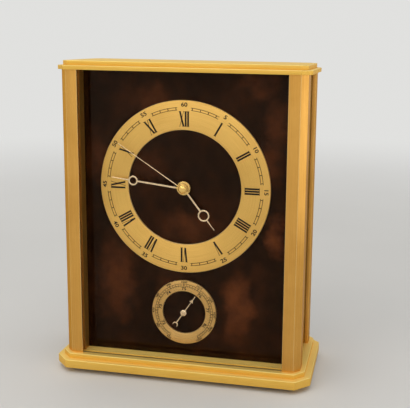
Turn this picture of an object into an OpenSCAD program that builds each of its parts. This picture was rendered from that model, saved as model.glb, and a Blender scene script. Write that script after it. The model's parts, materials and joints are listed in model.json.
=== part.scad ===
// Barometer clock: a gilt brass case with four corner posts, a lacquered dial panel
// behind glass, a battery clock movement above and an aneroid barometer below.
// Millimetres. The case stands on z = 0, the dial faces -Y and +X is the viewer's right.

/* [Feet and underside] */
// Height of the round rubber feet
foot_h = 1.8; // [1:0.1:4]
// Diameter of a foot
foot_d = 10; // [6:0.5:14]
// Distance of a foot's centre in from the sides of the slab
foot_inset = 12; // [10:0.5:20]
// Thickness of the black pad under the slab
pad_t = 1.2; // [0.6:0.1:2.5]
// Distance of the pad's edge in from the slab's edge
pad_inset = 4; // [1:0.5:6]

/* [Base] */
// Width of the lower slab
slab_w = 152; // [148:1:170]
// Depth of the lower slab
slab_d = 68; // [64:1:84]
// Thickness of the lower slab
slab_t = 4.8; // [4:0.1:9]
// Leg of the lower slab's corner chamfers
slab_chamfer = 8; // [4:0.5:12]
// Width of the ledge that the lower slab leaves round the upper step
slab_ledge = 3.5; // [2:0.1:6]
// Thickness of the upper step
step_t = 2.9; // [2.2:0.1:5]
// Leg of the upper step's corner chamfers
step_chamfer = 5.5; // [3:0.5:6]

/* [Posts] */
// Width of the ledge that the upper step leaves round the posts
step_ledge = 2.5; // [1.8:0.1:5]
// Length of a post
post_h = 166.9; // [160:0.5:190]
// Width of a post
post_w = 10.3; // [9.5:0.1:12]
// Depth of a post
post_d = 12.5; // [12:0.1:14]
// Leg of a post's outer chamfer
post_chamfer = 3.7; // [2:0.1:4.5]
// Small bevel on a post's inner front edge
post_edge = 0.3; // [0.1:0.05:0.6]

/* [Cornice] */
// Overhang of the cornice's lower plate over the posts
cornice_overhang = 2; // [1:0.1:5]
// Thickness of the cornice's lower plate
cornice_t = 2.4; // [2.1:0.1:4]
// Leg of the lower plate's corner chamfers
cornice_chamfer = 5; // [2:0.5:6]
// Distance of the cap's edge in from the edge of the lower plate
cap_setback = 2.5; // [1:0.1:5]
// Thickness of the cap
cap_t = 2.6; // [2.2:0.1:5]
// Leg of the cap's corner chamfers
cap_chamfer = 4; // [2:0.5:6]
// Bevel along the upper edges of the plates
plate_edge = 0.35; // [0.15:0.05:0.8]

/* [Glass and panels] */
// Thickness of the front glass
glass_t = 2.6; // [1.8:0.1:2.8]
// Distance of the glass behind the fronts of the posts
glass_setback = 1.2; // [0.8:0.1:1.6]
// Depth of the grooves that hold the glass at top and bottom
groove_depth = 1.2; // [0.8:0.1:1.6]
// Thickness of the rubber strip under the glass
strip_t = 0.4; // [0.2:0.05:0.6]
// Distance of the dial panel behind the fronts of the posts
panel_setback = 10; // [9.7:0.1:10.3]
// Thickness of the dial panel
panel_t = 1.5; // [1.4:0.1:1.6]
// Depth of the slots in the posts
slot_depth = 1.6; // [1:0.1:2]
// Distance of the side panels in from the faces of the posts
side_recess = 2.4; // [1.5:0.1:3]
// Thickness of the side panels
side_t = 1.5; // [1:0.1:2]
// Gap left over a panel for fitting it
panel_gap = 0.3; // [0.1:0.05:0.5]

/* [Dial] */
// Least distance of the chapter ring from the posts
ring_side_gap = 9.65; // [4:0.05:16]
// Distance of the chapter ring below the cornice
ring_top_gap = 15.8; // [10:0.1:22]
// Distance between the chapter ring and the barometer ring
ring_between = 4.85; // [3:0.05:10]
// Width of the chapter ring's band
ring_band = 16.9; // [15:0.1:19]
// Thickness of the chapter ring
ring_t = 1; // [0.8:0.05:1.3]
// Height of the Roman numerals
numeral_h = 8.6; // [7:0.1:9]
// Distance of the numerals in from the chapter ring's edge
numeral_rim = 6.3; // [6:0.1:7]
// Width of a numeral's thick stroke
stroke_thick = 1.02; // [0.8:0.01:1.15]
// Width of a numeral's thin stroke
stroke_thin = 0.26; // [0.2:0.01:0.4]
// Distance of the minute track's inner side in from the chapter ring's edge
track_rim = 5.5; // [5:0.1:5.8]
// Width of the minute track
track_w = 1.4; // [1:0.1:1.6]
// Width of the lines of the scales
line_w = 0.17; // [0.12:0.01:0.3]
// Thickness of the printed enamel
print_t = 0.05; // [0.03:0.01:0.1]

/* [Hands] */
// Length of the hour hand
hour_len = 29.6; // [27:0.1:31]
// Radius of the centre of the hour hand's ring
hour_eye_r = 19.3; // [17:0.1:21]
// Outer diameter of the hour hand's ring
hour_eye_d = 6.8; // [5:0.1:8]
// Diameter of the hour hand's boss
hour_boss_d = 8; // [7.8:0.1:9]
// Length of the minute hand
minute_len = 42.7; // [40:0.1:44]
// Radius of the centre of the minute hand's ring
minute_eye_r = 29.65; // [27:0.1:32]
// Outer diameter of the minute hand's ring
minute_eye_d = 5.6; // [4.5:0.1:7]
// Diameter of the minute hand's boss
minute_boss_d = 5.6; // [4.5:0.1:6.5]
// Width of the shafts of the hour and minute hands
hand_w = 1.15; // [0.8:0.05:1.5]
// Width of a hand's tip
hand_tip_w = 0.35; // [0.2:0.05:0.6]
// Thickness of the hour and minute hands
hand_t = 0.4; // [0.3:0.05:0.5]
// Length of the second hand
second_len = 45; // [42:0.1:47]
// Length of the second hand's tail
second_tail = 3.5; // [3:0.5:16]
// Width of the second hand
second_w = 0.6; // [0.4:0.05:0.9]
// Thickness of the second hand
second_t = 0.25; // [0.2:0.05:0.3]
// Diameter of the domed cap over the second hand
hand_cap_d = 4.8; // [4:0.1:5.5]
// Height of the domed cap
hand_cap_h = 0.85; // [0.6:0.05:0.9]
// Angle of the hour hand, clockwise from 12
hour_angle = 142.3; // [0:0.1:360]
// Angle of the minute hand, clockwise from 12
minute_angle = 276.4; // [0:0.1:360]
// Angle of the second hand, clockwise from 12
second_angle = 303; // [0:0.1:360]

/* [Barometer dial] */
// Distance of the barometer ring above the base
baro_floor_gap = 7.35; // [6:0.05:9]
// Outer diameter of the barometer ring
baro_od = 38.9; // [37:0.1:41]
// Width of the barometer ring's band
baro_band = 6.6; // [5.5:0.1:7.5]
// Distance of the barometer's scale in from the ring's edge
scale_rim = 3.25; // [3:0.05:4]
// Angle from the top to each end of the scale
scale_half_angle = 150; // [140:1:155]
// Length of the pointer from its centre to its tip
pointer_len = 12.6; // [11:0.1:12.7]
// Radius of the pointer's arrowhead
arrow_r = 8.9; // [7:0.1:10]
// Radius of the centre of the pointer's tail crescent
crescent_r = 8.9; // [7:0.1:10]
// Diameter of the tail crescent
crescent_d = 3.2; // [2.4:0.1:4]
// Width of the pointer
pointer_w = 0.65; // [0.5:0.05:0.9]
// Diameter of the pointer's hub
pointer_hub_d = 3.7; // [3:0.1:4.5]
// Angle of the pointer, clockwise from the top
pointer_angle = 34; // [-100:1:100]

/* [Back door] */
// Thickness of the door
door_t = 2; // [1.8:0.1:2.4]
// Gap round the door
door_gap = 0.5; // [0.4:0.05:0.8]
// Distance of the hinge axis in from the door's edge
hinge_edge = 1.4; // [1.3:0.05:1.5]
// Radius of the hinge pins
hinge_pin_r = 0.7; // [0.6:0.02:0.75]
// Diameter of the door's knob
door_knob_d = 8; // [6:0.5:12]
// Height of the door's knob
door_knob_h = 5.2; // [4:0.1:5.6]

/* [Clock movement] */
// Side of the square movement
movement_side = 56; // [55:0.5:58]
// Depth of the movement
movement_depth = 16.5; // [16.2:0.1:18]
// Wall of the movement's shells
shell_wall = 1.2; // [1.1:0.05:1.4]
// Height of the battery bay
bay_h = 14.8; // [14.6:0.1:15.2]
// Diameter of the battery
battery_d = 14.2; // [13.8:0.1:14.4]
// Length of the battery with its nub
battery_len = 50.5; // [49:0.1:51]
// Diameter of the setting knob
setting_knob_d = 12; // [9:0.5:14]
// Height of the setting knob
setting_knob_h = 4; // [3:0.5:6]

/* [Barometer works] */
// Outer diameter of the barometer's can
can_d = 46; // [45.6:0.2:48]
// Depth of the can
can_depth = 15; // [14.8:0.2:17]
// Wall of the can
can_wall = 0.8; // [0.6:0.05:0.9]
// Diameter of the aneroid capsule
capsule_d = 34; // [30:0.5:34.5]
// Thickness of the aneroid capsule
capsule_t = 4.4; // [4:0.1:4.6]
// Number of corrugations in the capsule
capsule_waves = 4; // [2:1:5]
// Height of a corrugation
wave_h = 0.5; // [0.2:0.05:0.7]

/* [Fasteners] */
// Shank diameter of the case screws
case_screw_d = 3; // [2.5:0.1:3.2]
// Head diameter of the case screws
case_head_d = 5.4; // [5:0.1:6]
// Head height of the case screws
case_head_h = 1.8; // [1.4:0.1:2]
// Depth of the screws in the posts
case_bite = 8; // [5:0.5:14]
// Shank diameter of the small screws
small_screw_d = 1.9; // [1.6:0.1:2.1]
// Head diameter of the small screws
small_head_d = 3.8; // [3.2:0.1:4.2]
// Head height of the small screws
small_head_h = 1.3; // [1:0.1:1.6]
// Play between a screw and its hole
screw_play = 0.08; // [0.05:0.01:0.12]
// Radial play of a turning shaft in its bearing
run_play = 0.05; // [0.03:0.01:0.08]
// Play between a sliding fit's flat faces
fit_play = 0.15; // [0.05:0.01:0.2]

/* [Hidden] */
$fn = 64;
// Length by which a cutting shape overruns the face it cuts
overrun = 1;

// Heights of the stacked plates
slab_z = foot_h + pad_t;
step_z = slab_z + slab_t;
floor_z = step_z + step_t;
roof_z = floor_z + post_h;
cap_z = roof_z + cornice_t;

// Outlines of the plates and the frame
step_w = slab_w - 2 * slab_ledge;
step_d = slab_d - 2 * slab_ledge;
frame_w = step_w - 2 * step_ledge;
frame_d = step_d - 2 * step_ledge;
cornice_w = frame_w + 2 * cornice_overhang;
cornice_d = frame_d + 2 * cornice_overhang;
cap_w = cornice_w - 2 * cap_setback;
cap_d = cornice_d - 2 * cap_setback;

// Frame lines seen from above
post_out_x = frame_w / 2;
post_in_x = post_out_x - post_w;
post_front_y = -frame_d / 2;
post_back_y = post_front_y + post_d;
screw_x = post_out_x - post_w / 2;
screw_y = post_front_y + post_d / 2;
glass_y = post_front_y + glass_setback;
panel_front_y = post_front_y + panel_setback;
panel_back_y = panel_front_y + panel_t;
side_out_x = post_out_x - side_recess;
side_in_x = side_out_x - side_t;
slot_end_x = post_in_x + slot_depth;
side_half_y = -post_back_y + slot_depth;

// Door, its axis and the faces of the opening it closes
door_recess = 0.2;
door_out_y = -post_front_y - door_recess;
door_in_y = door_out_y - door_t;
door_half_w = post_in_x - door_gap;
hinge_x = -door_half_w + hinge_edge;
hinge_y = door_out_y - door_t / 2;
hinge_hold = 6;
hinge_reach = 1.4;
door_knob_x = door_half_w - door_knob_d;
door_knob_z = (floor_z + roof_z) / 2;
keeper_w = 5;
keeper_h = 16;
keeper_t = 0.5;
keeper_gap = 0.1;
magnet_t = 3;
// Profile of the door's knob, as shares of its radius and its height
knob_shares = [
    [0, 0], [0.7, 0], [0.7, 0.15], [0.45, 0.3], [0.45, 0.45], [1, 0.65], [1, 0.85], [0.8, 1], [0, 1]
];

// The chapter ring fills the height over the barometer ring and the width between the posts
ring_room_h = post_h - ring_top_gap - ring_between - baro_od - baro_floor_gap;
ring_room_w = 2 * (post_in_x - ring_side_gap);
ring_od = min(ring_room_h, ring_room_w);
ring_inner_d = ring_od - 2 * ring_band;
dial_z = roof_z - ring_top_gap - ring_room_h / 2;
numeral_r = ring_od / 2 - numeral_rim;
track_r = ring_od / 2 - track_rim;
baro_z = floor_z + baro_floor_gap + baro_od / 2;
baro_inner_d = baro_od - 2 * baro_band;
scale_r = baro_od / 2 - scale_rim;

// Bevels of the rings, and their pins in the dial panel
ring_bevel_share = 0.33;
ring_pin_r = 0.6;
ring_pin_share = 0.86;
panel_centre_hole_r = 3.6;
panel_baro_hole_r = 1.2;

// Bosses on the back of the dial panel
movement_boss_r = 2.9;
movement_boss_h = 3;
movement_boss_x = movement_side / 2 + movement_boss_r + fit_play;
ear_t = 2;
baro_boss_r = 2;
baro_boss_h = 2;
baro_boss_place_r = can_d / 2 + baro_boss_r;
baro_boss_angles = [0, 90, 180];
blind_skin = 0.6;

// Hand planes, measured forwards from the front of the dial panel
hour_lift = 1.9;
minute_lift = 3.3;
second_lift = 4.45;
boss_extra = 0.2;
second_boss_r = 1.7;
second_arbor_r = 0.5;
cannon_r = 1.6;
hour_pipe_r = 2.5;
pipe_stub = 0.1;
second_lift_top = second_lift + second_t + boss_extra;

// Clock train: module, teeth and places, seen from the front about the dial's centre
tooth_share = 0.8;
addendum_share = 0.85;
dedendum_share = 1.15;
tip_share = 0.5;
pinion_teeth = 8;
third_teeth = 60;
centre_teeth = 64;
second_teeth = 48;
intermediate_teeth = 40;
cannon_teeth = 16;
motion_teeth = 48;
motion_pinion_teeth = 14;
hour_teeth = 56;
setting_teeth = 24;
third_mod = 0.27;
centre_mod = third_mod * (pinion_teeth + third_teeth) / (pinion_teeth + centre_teeth);
second_mod = 0.34;
rotor_mod = 0.25;
motion_mod = 0.4;
hour_mod = motion_mod * (cannon_teeth + motion_teeth) / (motion_pinion_teeth + hour_teeth);
third_dir = 60;
intermediate_dir = -30;
rotor_dir = 35;
motion_dir = 150;
setting_dir = 70;
third_at = along([0, 0], third_dir, third_mod * (pinion_teeth + third_teeth) / 2);
intermediate_at = along([0, 0], intermediate_dir, second_mod * (pinion_teeth + second_teeth) / 2);
rotor_at = along(intermediate_at, rotor_dir, rotor_mod * (pinion_teeth + intermediate_teeth) / 2);
motion_at = along([0, 0], motion_dir, motion_mod * (cannon_teeth + motion_teeth) / 2);
setting_at = along(motion_at, setting_dir, motion_mod * (motion_teeth + setting_teeth) / 2);

// Layers of the movement, as depths behind the back of the dial panel: [start, end]
hour_layer = [1.5, 2.3];
motion_pinion_layer = [1.5, 3.3];
motion_layer = [2.9, 3.7];
cannon_layer = [2.7, 3.9];
mid_layer = [4.1, 4.7];
centre_layer = [5.0, 5.6];
third_pinion_layer = [4.9, 6.8];
third_layer = [6.5, 7.1];
second_pinion_layer = [6.3, 8.0];
second_layer = [7.7, 8.3];
intermediate_pinion_layer = [7.5, 9.0];
intermediate_layer = [8.7, 9.3];
rotor_pinion_layer = [8.5, 10.2];
magnet_layer = [9.8, 11.4];
stator_layer = [10.1, 11.1];
train_layer = [11.8, 12.6];
board_layer = [12.6, 13.4];
train_arbor = [mid_layer[0] + fit_play, train_layer[1] - fit_play];
arbor_r = 0.4;
pivot_sink = 0.45;
magnet_r = 1.8;
stator_hole_r = 2.2;
clutch_tail = 0.5;
shaft_r = 1.5;
knob_gap = 0.4;

// Battery bay and pillars of the movement
half_side = movement_side / 2;
inner_half = half_side - shell_wall;
bay_floor = -inner_half;
bay_top = bay_floor + bay_h;
shell_round = 2.5;
bay_round = 1.2;
pillar_r = 1.5;
pillar_foot_r = 2.2;
pillar_pin_r = 0.8;
pillar_shares = [[-0.836, -0.3], [0.786, -0.307], [-0.836, 0.829], [0.786, 0.836]];
pillars_at = [for (share = pillar_shares) half_side * share];
plate_shares = [[-0.914, -0.371], [0.871, 0.914]];
plate_low = half_side * plate_shares[0];
plate_high = half_side * plate_shares[1];
board_shares = [[-0.054, -0.343], [0.857, 0.536]];
board_low = half_side * board_shares[0];
board_high = half_side * board_shares[1];
chip_share = [0.214, 0.071];
chip_at = half_side * chip_share;
chip_taper_share = 0.8;
chip_r = 2.6;
chip_t = 0.9;
crystal_share = [0.607, -0.143];
crystal_at = half_side * crystal_share;
crystal_r = 0.8;
crystal_len = 6.2;
coil_x = 21.3;
coil_r = 2;
winding_share = 0.85;
coil_low = -3.4;
coil_high = 17;
core_w = 1.2;
core_t = 1;
stator_left = 9.4;
stator_right = 22.6;
stator_neck = 17;
stator_low = -6.6;
stator_high = 20.4;
stator_arm = 2.5;
contact_t = 0.4;
contact_w = 9;
nub_r = 2.75;
nub_h = 1;
battery_z = bay_floor + fit_play + battery_d / 2;
battery_depth = shell_wall + fit_play + battery_d / 2;

// Layers of the barometer, as depths behind the back of the dial panel
can_front = baro_boss_h;
can_back = can_front + can_depth;
can_floor = can_back - can_wall;
can_room = can_d / 2 - can_wall - capsule_d / 2;
plate_layer = [6.0, 6.8];
bush_front = 3;
bush_r = 2;
pointer_arbor_r = 0.6;
pointer_teeth = 10;
sector_teeth = 60;
sector_mod = 0.3;
sector_layer = [7.1, 7.9];
pinion_layer = [7.0, 8.0];
sector_dir = -90;
sector_at = along([0, 0], sector_dir, sector_mod * (pointer_teeth + sector_teeth) / 2);
sector_pivot_r = 0.5;
sector_hub_r = 1.6;
sector_margin = 7;
sector_tail = 6;
sector_tail_w = 1.8;
arbor_end = 8.6;
spring_layer = [9.0, 9.7];
spring_w = 5;
spring_foot_share = 0.423;
spring_foot_t = spring_foot_share * can_room;
spring_foot_x = -(capsule_d + can_room) / 2;
spring_end_x = 2.5;
capsule_stand = 1.1;
capsule_back = can_floor - capsule_stand;
capsule_front = capsule_back - capsule_t;
capsule_post_r = 1.5;
capsule_boss_r = 3;
capsule_rim = 0.5;
pillar_share = 0.231;
plate_pillar_r = pillar_share * can_room;
plate_pillar_place_r = (capsule_d + can_room) / 2;
plate_pillar_angles = [45, 157, 285];
adjust_r = 1.2;
adjust_head_r = 3.2;
adjust_head_h = 1.6;
slot_w = 0.8;
slot_cut = 0.9;
pointer_lift = 1.75;
arrow_wing_share = 1.9;
arrow_head_share = 2.2;
pointer_t = 0.3;
hub_top_share = 0.6;
stub_lift = 2.2;

// Steps of the scales
minutes = 60;
hours = 12;
minutes_per_hour = minutes / hours;
scale_steps = 50;
scale_major = 5;
scale_tick = 1;
scale_major_tick = 1.5;
arc_step = 3;

// Depth of the countersunk heads in the cornice, and places of the cap's screws
sunk_h = (case_head_d - case_screw_d) / 2;
cap_screw_shares = [[-0.245, 0.11], [0.245, 0.11]];
cap_screws_at = [for (share = cap_screw_shares) [share[0] * cap_w, share[1] * cap_d]];

// Letter widths of the numerals, as shares of the numeral's height
letter_i_share = 0.165;
letter_v_share = 0.32;
letter_x_share = 0.37;
v_foot_share = 0.25;
serif_t = 0.2;
serif_over = 0.22;
NUMERALS = ["XII", "I", "II", "III", "IIII", "V", "VI", "VII", "VIII", "IX", "X", "XI"];

// A point at a distance from another one, in a direction given in degrees
function along(from, dir, distance) = from + distance * [cos(dir), sin(dir)];

// Outline of a gear: trapezium teeth, the first one centred on +X
function gear_points(teeth, mod) = [
    for (i = [0 : teeth - 1])
        for (p = [
            [-dedendum_share, -1], [0, -1], [addendum_share, -tip_share],
            [addendum_share, tip_share], [0, 1], [-dedendum_share, 1]
        ])
            let (a = 360 * i / teeth + p[1] * tooth_share * 90 / teeth)
                (mod * teeth / 2 + p[0] * mod) * [cos(a), sin(a)]
];

// Place children drawn in x (right), y (up) so that they grow forwards from a plane
module facing(plane_y, x = 0, z = 0) {
    translate([x, plane_y, z]) rotate([90, 0, 0]) children();
}

// A flat piece between two depths behind the dial panel, drawn about a dial centre
module layer(depths, centre_z, at = [0, 0]) {
    facing(panel_back_y + depths[1], at[0], centre_z + at[1])
        linear_extrude(depths[1] - depths[0]) children();
}

// A rectangle with its four corners cut off
module chamfered_rect(w, d, c) {
    polygon([
        [w / 2 - c, -d / 2], [w / 2, -d / 2 + c], [w / 2, d / 2 - c], [w / 2 - c, d / 2],
        [-w / 2 + c, d / 2], [-w / 2, d / 2 - c], [-w / 2, -d / 2 + c], [-w / 2 + c, -d / 2]
    ]);
}

// A cutter along one upper edge: a square bar turned by 45 degrees
module edge_cutter(length, at, dir, z) {
    side = plate_edge * sqrt(2);
    translate([at[0], at[1], z]) rotate([0, 0, dir]) rotate([45, 0, 0])
        cube([length, side, side], center = true);
}

// A chamfered plate with bevelled upper edges, from z upwards
module case_plate(w, d, t, c, z) {
    long = w + d;
    corner = [w / 2 - c / 2, d / 2 - c / 2];
    difference() {
        translate([0, 0, z]) linear_extrude(t) chamfered_rect(w, d, c);
        for (s = [-1, 1]) {
            edge_cutter(long, [0, s * d / 2], 0, z + t);
            edge_cutter(long, [s * w / 2, 0], 90, z + t);
            edge_cutter(long, [s * corner[0], corner[1]], -s * 45, z + t);
            edge_cutter(long, [s * corner[0], -corner[1]], s * 45, z + t);
        }
    }
}

// Children repeated at the four posts
module at_posts() {
    for (sx = [-1, 1], sy = [-1, 1])
        translate([sx * screw_x, sy * screw_y, 0]) children();
}

// A rectangle with round corners, from its lower left to its upper right corner
module round_rect(low, high, r) {
    size = high - low;
    translate(low) {
        translate([r, 0]) square([size[0] - 2 * r, size[1]]);
        translate([0, r]) square([size[0], size[1] - 2 * r]);
        for (x = [r, size[0] - r], y = [r, size[1] - r]) translate([x, y]) circle(r);
    }
}

/* Case */

module feet() {
    color([0.06, 0.06, 0.06])
    for (sx = [-1, 1], sy = [-1, 1])
        translate([sx * (slab_w / 2 - foot_inset), sy * (slab_d / 2 - foot_inset), 0])
            cylinder(h = foot_h, d = foot_d);
}

module underside_pad() {
    color([0.08, 0.08, 0.08])
    translate([0, 0, foot_h]) linear_extrude(pad_t)
        chamfered_rect(slab_w - 2 * pad_inset, slab_d - 2 * pad_inset, slab_chamfer);
}

module base_slab() {
    color([0.80, 0.60, 0.26])
    difference() {
        case_plate(slab_w, slab_d, slab_t, slab_chamfer, slab_z);
        at_posts() {
            translate([0, 0, slab_z - overrun])
                cylinder(h = slab_t + 2 * overrun, d = case_screw_d + 2 * screw_play);
            translate([0, 0, slab_z - overrun])
                cylinder(h = case_head_h + screw_play + overrun, d = case_head_d + 2 * fit_play);
        }
    }
}

module glass_groove(z, depth) {
    translate([-slot_end_x, glass_y - fit_play, z])
        cube([2 * slot_end_x, glass_t + 2 * fit_play, depth]);
}

module hinge_hole(z) {
    translate([hinge_x, hinge_y, z])
        cylinder(h = hinge_reach + door_gap + overrun, r = hinge_pin_r + run_play);
}

module base_step() {
    color([0.90, 0.70, 0.30])
    difference() {
        case_plate(step_w, step_d, step_t, step_chamfer, step_z);
        at_posts() translate([0, 0, step_z - overrun])
            cylinder(h = step_t + 2 * overrun, d = case_screw_d + 2 * screw_play);
        glass_groove(floor_z - groove_depth, groove_depth + overrun);
        hinge_hole(floor_z - hinge_reach);
    }
}

// Section of a post at the right front, with the slots for what it holds
module post_section(glazed) {
    difference() {
        polygon([
            [post_in_x + post_edge, post_front_y],
            [post_out_x - post_chamfer, post_front_y],
            [post_out_x, post_front_y + post_chamfer],
            [post_out_x, post_back_y],
            [post_in_x, post_back_y],
            [post_in_x, post_front_y + post_edge]
        ]);
        translate([side_in_x - fit_play, post_back_y - slot_depth - fit_play])
            square([side_t + 2 * fit_play, slot_depth + fit_play + overrun]);
        if (glazed) {
            translate([post_in_x - overrun, glass_y - fit_play])
                square([slot_depth + overrun, glass_t + 2 * fit_play]);
            translate([post_in_x - overrun, panel_front_y - fit_play])
                square([slot_depth + overrun, panel_t + 2 * fit_play]);
        }
    }
}

module post(glazed) {
    difference() {
        translate([0, 0, floor_z]) linear_extrude(post_h) post_section(glazed);
        for (z = [floor_z - overrun, roof_z - case_bite - overrun])
            translate([screw_x, screw_y, z])
                cylinder(h = case_bite + 2 * overrun, d = case_screw_d + screw_play);
    }
}

module post_front_right() {
    color([0.74, 0.54, 0.22]) post(true);
}

module post_front_left() {
    color([0.76, 0.56, 0.24]) mirror([1, 0, 0]) post(true);
}

module post_rear_right() {
    color([0.68, 0.48, 0.20]) mirror([0, 1, 0]) post(false);
}

module post_rear_left() {
    color([0.68, 0.48, 0.20]) mirror([1, 0, 0]) mirror([0, 1, 0]) post(false);
}

module cornice_lower() {
    color([0.88, 0.68, 0.30])
    difference() {
        case_plate(cornice_w, cornice_d, cornice_t, cornice_chamfer, roof_z);
        at_posts() {
            translate([0, 0, roof_z - overrun])
                cylinder(h = cornice_t + 2 * overrun, d = case_screw_d + 2 * screw_play);
            translate([0, 0, cap_z - sunk_h - screw_play])
                cylinder(h = sunk_h + screw_play,
                         d1 = case_screw_d + 2 * screw_play, d2 = case_head_d + 4 * screw_play);
        }
        for (at = cap_screws_at) translate([at[0], at[1], roof_z - overrun])
            cylinder(h = cornice_t + 2 * overrun, d = small_screw_d + 2 * screw_play);
        glass_groove(roof_z - overrun, groove_depth + overrun);
        hinge_hole(roof_z - door_gap - overrun);
    }
}

module cornice_upper() {
    color([0.90, 0.72, 0.34])
    difference() {
        case_plate(cap_w, cap_d, cap_t, cap_chamfer, cap_z);
        for (at = cap_screws_at) translate([at[0], at[1], cap_z - overrun])
            cylinder(h = cap_t - blind_skin + overrun, d = small_screw_d + screw_play);
    }
}

module base_screws() {
    color([0.55, 0.55, 0.58])
    at_posts() translate([0, 0, slab_z]) {
        difference() {
            cylinder(h = case_head_h, d = case_head_d);
            cube([2 * case_head_d, slot_w, 2 * slot_cut], center = true);
        }
        cylinder(h = slab_t + step_t + case_bite - fit_play, d = case_screw_d);
    }
}

module cornice_screws() {
    color([0.55, 0.55, 0.58]) {
        at_posts() {
            translate([0, 0, cap_z - sunk_h])
                cylinder(h = sunk_h, d1 = case_screw_d, d2 = case_head_d);
            translate([0, 0, roof_z - case_bite + fit_play])
                cylinder(h = case_bite + cornice_t - fit_play - sunk_h / 2, d = case_screw_d);
        }
        for (at = cap_screws_at) translate([at[0], at[1], roof_z - small_head_h]) {
            cylinder(h = small_head_h, d = small_head_d);
            cylinder(h = small_head_h + cornice_t + cap_t - blind_skin - fit_play, d = small_screw_d);
        }
    }
}

module front_glass() {
    color([0.75, 0.80, 0.80, 0.25])
    translate([-slot_end_x + fit_play, glass_y, floor_z - groove_depth + strip_t])
        cube([2 * (slot_end_x - fit_play), glass_t, post_h + 2 * groove_depth - strip_t - panel_gap]);
}

module glass_strip() {
    color([0.10, 0.08, 0.06])
    translate([-slot_end_x + fit_play, glass_y, floor_z - groove_depth])
        cube([2 * (slot_end_x - fit_play), glass_t, strip_t]);
}

module side_panel(side) {
    color([0.14, 0.06, 0.03])
    translate([side > 0 ? side_in_x : -side_out_x, -side_half_y, floor_z])
        cube([side_t, 2 * side_half_y, post_h - panel_gap]);
}

module side_panel_left() {
    side_panel(-1);
}

module side_panel_right() {
    side_panel(1);
}

/* Dial panel and rings */

// Places of a ring's pins, drawn about the ring's centre
module at_ring_pins(radius) {
    for (a = [45 : 90 : 315]) rotate(a) translate([radius, 0]) children();
}

module dial_panel() {
    color([0.20, 0.09, 0.05]) {
        difference() {
            translate([-slot_end_x + fit_play, panel_front_y, floor_z])
                cube([2 * (slot_end_x - fit_play), panel_t, post_h - panel_gap]);
            layer([-panel_t - overrun, overrun], dial_z) {
                circle(panel_centre_hole_r);
                at_ring_pins(ring_pin_share * ring_od / 2) circle(ring_pin_r + run_play);
            }
            layer([-panel_t - overrun, overrun], baro_z) {
                circle(panel_baro_hole_r);
                at_ring_pins(ring_pin_share * baro_od / 2) circle(ring_pin_r + run_play);
            }
            panel_screw_holes(blind_skin - panel_t, overrun);
        }
        difference() {
            union() {
                for (s = [-1, 1])
                    layer([-panel_t / 2, movement_boss_h], dial_z, [s * movement_boss_x, 0])
                        circle(movement_boss_r);
                for (a = baro_boss_angles)
                    layer([-panel_t / 2, baro_boss_h], baro_z, along([0, 0], a, baro_boss_place_r))
                        circle(baro_boss_r);
            }
            panel_screw_holes(-overrun, movement_boss_h + overrun);
        }
    }
}

// Tapped holes of the bosses between two depths
module panel_screw_holes(start, end) {
    for (s = [-1, 1])
        layer([start, end], dial_z, [s * movement_boss_x, 0])
            circle(case_screw_d / 2 + screw_play);
    for (a = baro_boss_angles)
        layer([start, end], baro_z, along([0, 0], a, baro_boss_place_r))
            circle(small_screw_d / 2 + screw_play);
}

// A flat ring with bevelled edges and pins on its back
module dial_ring(od, inner_d, centre_z) {
    bevel = ring_bevel_share * ring_t;
    facing(panel_front_y, 0, centre_z) {
        rotate_extrude() polygon([
            [inner_d / 2, 0], [od / 2, 0], [od / 2, ring_t - bevel], [od / 2 - bevel, ring_t],
            [inner_d / 2 + bevel, ring_t], [inner_d / 2, ring_t - bevel]
        ]);
        translate([0, 0, -panel_t]) linear_extrude(panel_t + ring_t / 2)
            at_ring_pins(ring_pin_share * od / 2) circle(ring_pin_r);
    }
}

module chapter_ring() {
    color([0.86, 0.68, 0.34]) dial_ring(ring_od, ring_inner_d, dial_z);
}

module barometer_ring() {
    color([0.86, 0.68, 0.34]) dial_ring(baro_od, baro_inner_d, baro_z);
}

// A slanting stroke from the foot to the head of a letter
module stroke(foot_x, head_x, w) {
    polygon([
        [foot_x - w / 2, 0], [foot_x + w / 2, 0],
        [head_x + w / 2, numeral_h], [head_x - w / 2, numeral_h]
    ]);
}

// A serif across the end of a stroke
module serif(x, w, top) {
    half = w / 2 + serif_over;
    translate([x - half, top ? numeral_h - serif_t : 0]) square([2 * half, serif_t]);
}

function letter_w(c) =
    numeral_h * (c == "I" ? letter_i_share : c == "V" ? letter_v_share : letter_x_share);

// One letter of a numeral, centred on x = 0 with its foot on y = 0
module letter(c) {
    spread = letter_w(c) / 2 - stroke_thick / 2;
    if (c == "I") {
        stroke(0, 0, stroke_thick);
        serif(0, stroke_thick, true);
        serif(0, stroke_thick, false);
    }
    if (c == "V") {
        stroke(0, -spread, stroke_thick);
        stroke(v_foot_share * stroke_thick, spread, stroke_thin);
        serif(-spread, stroke_thick, true);
        serif(spread, stroke_thin, true);
    }
    if (c == "X") {
        stroke(spread, -spread, stroke_thick);
        stroke(-spread, spread, stroke_thin);
        for (top = [true, false]) {
            serif(top ? -spread : spread, stroke_thick, top);
            serif(top ? spread : -spread, stroke_thin, top);
        }
    }
}

function word_w(word, n) = n == 0 ? 0 : letter_w(word[n - 1]) + word_w(word, n - 1);

module numeral(word) {
    full = word_w(word, len(word));
    for (i = [0 : len(word) - 1])
        translate([word_w(word, i) + letter_w(word[i]) / 2 - full / 2, 0]) letter(word[i]);
}

// Print on the front of a ring
module printed(centre_z) {
    facing(panel_front_y - ring_t, 0, centre_z) linear_extrude(print_t) children();
}

module hour_numerals() {
    color([0.05, 0.04, 0.03])
    printed(dial_z)
        for (h = [0 : hours - 1])
            rotate(-360 * h / hours) translate([0, numeral_r - numeral_h]) numeral(NUMERALS[h]);
}

// Point of a circle at an angle, clockwise from the top
function clock_point(r, a) = r * [sin(a), cos(a)];

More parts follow.
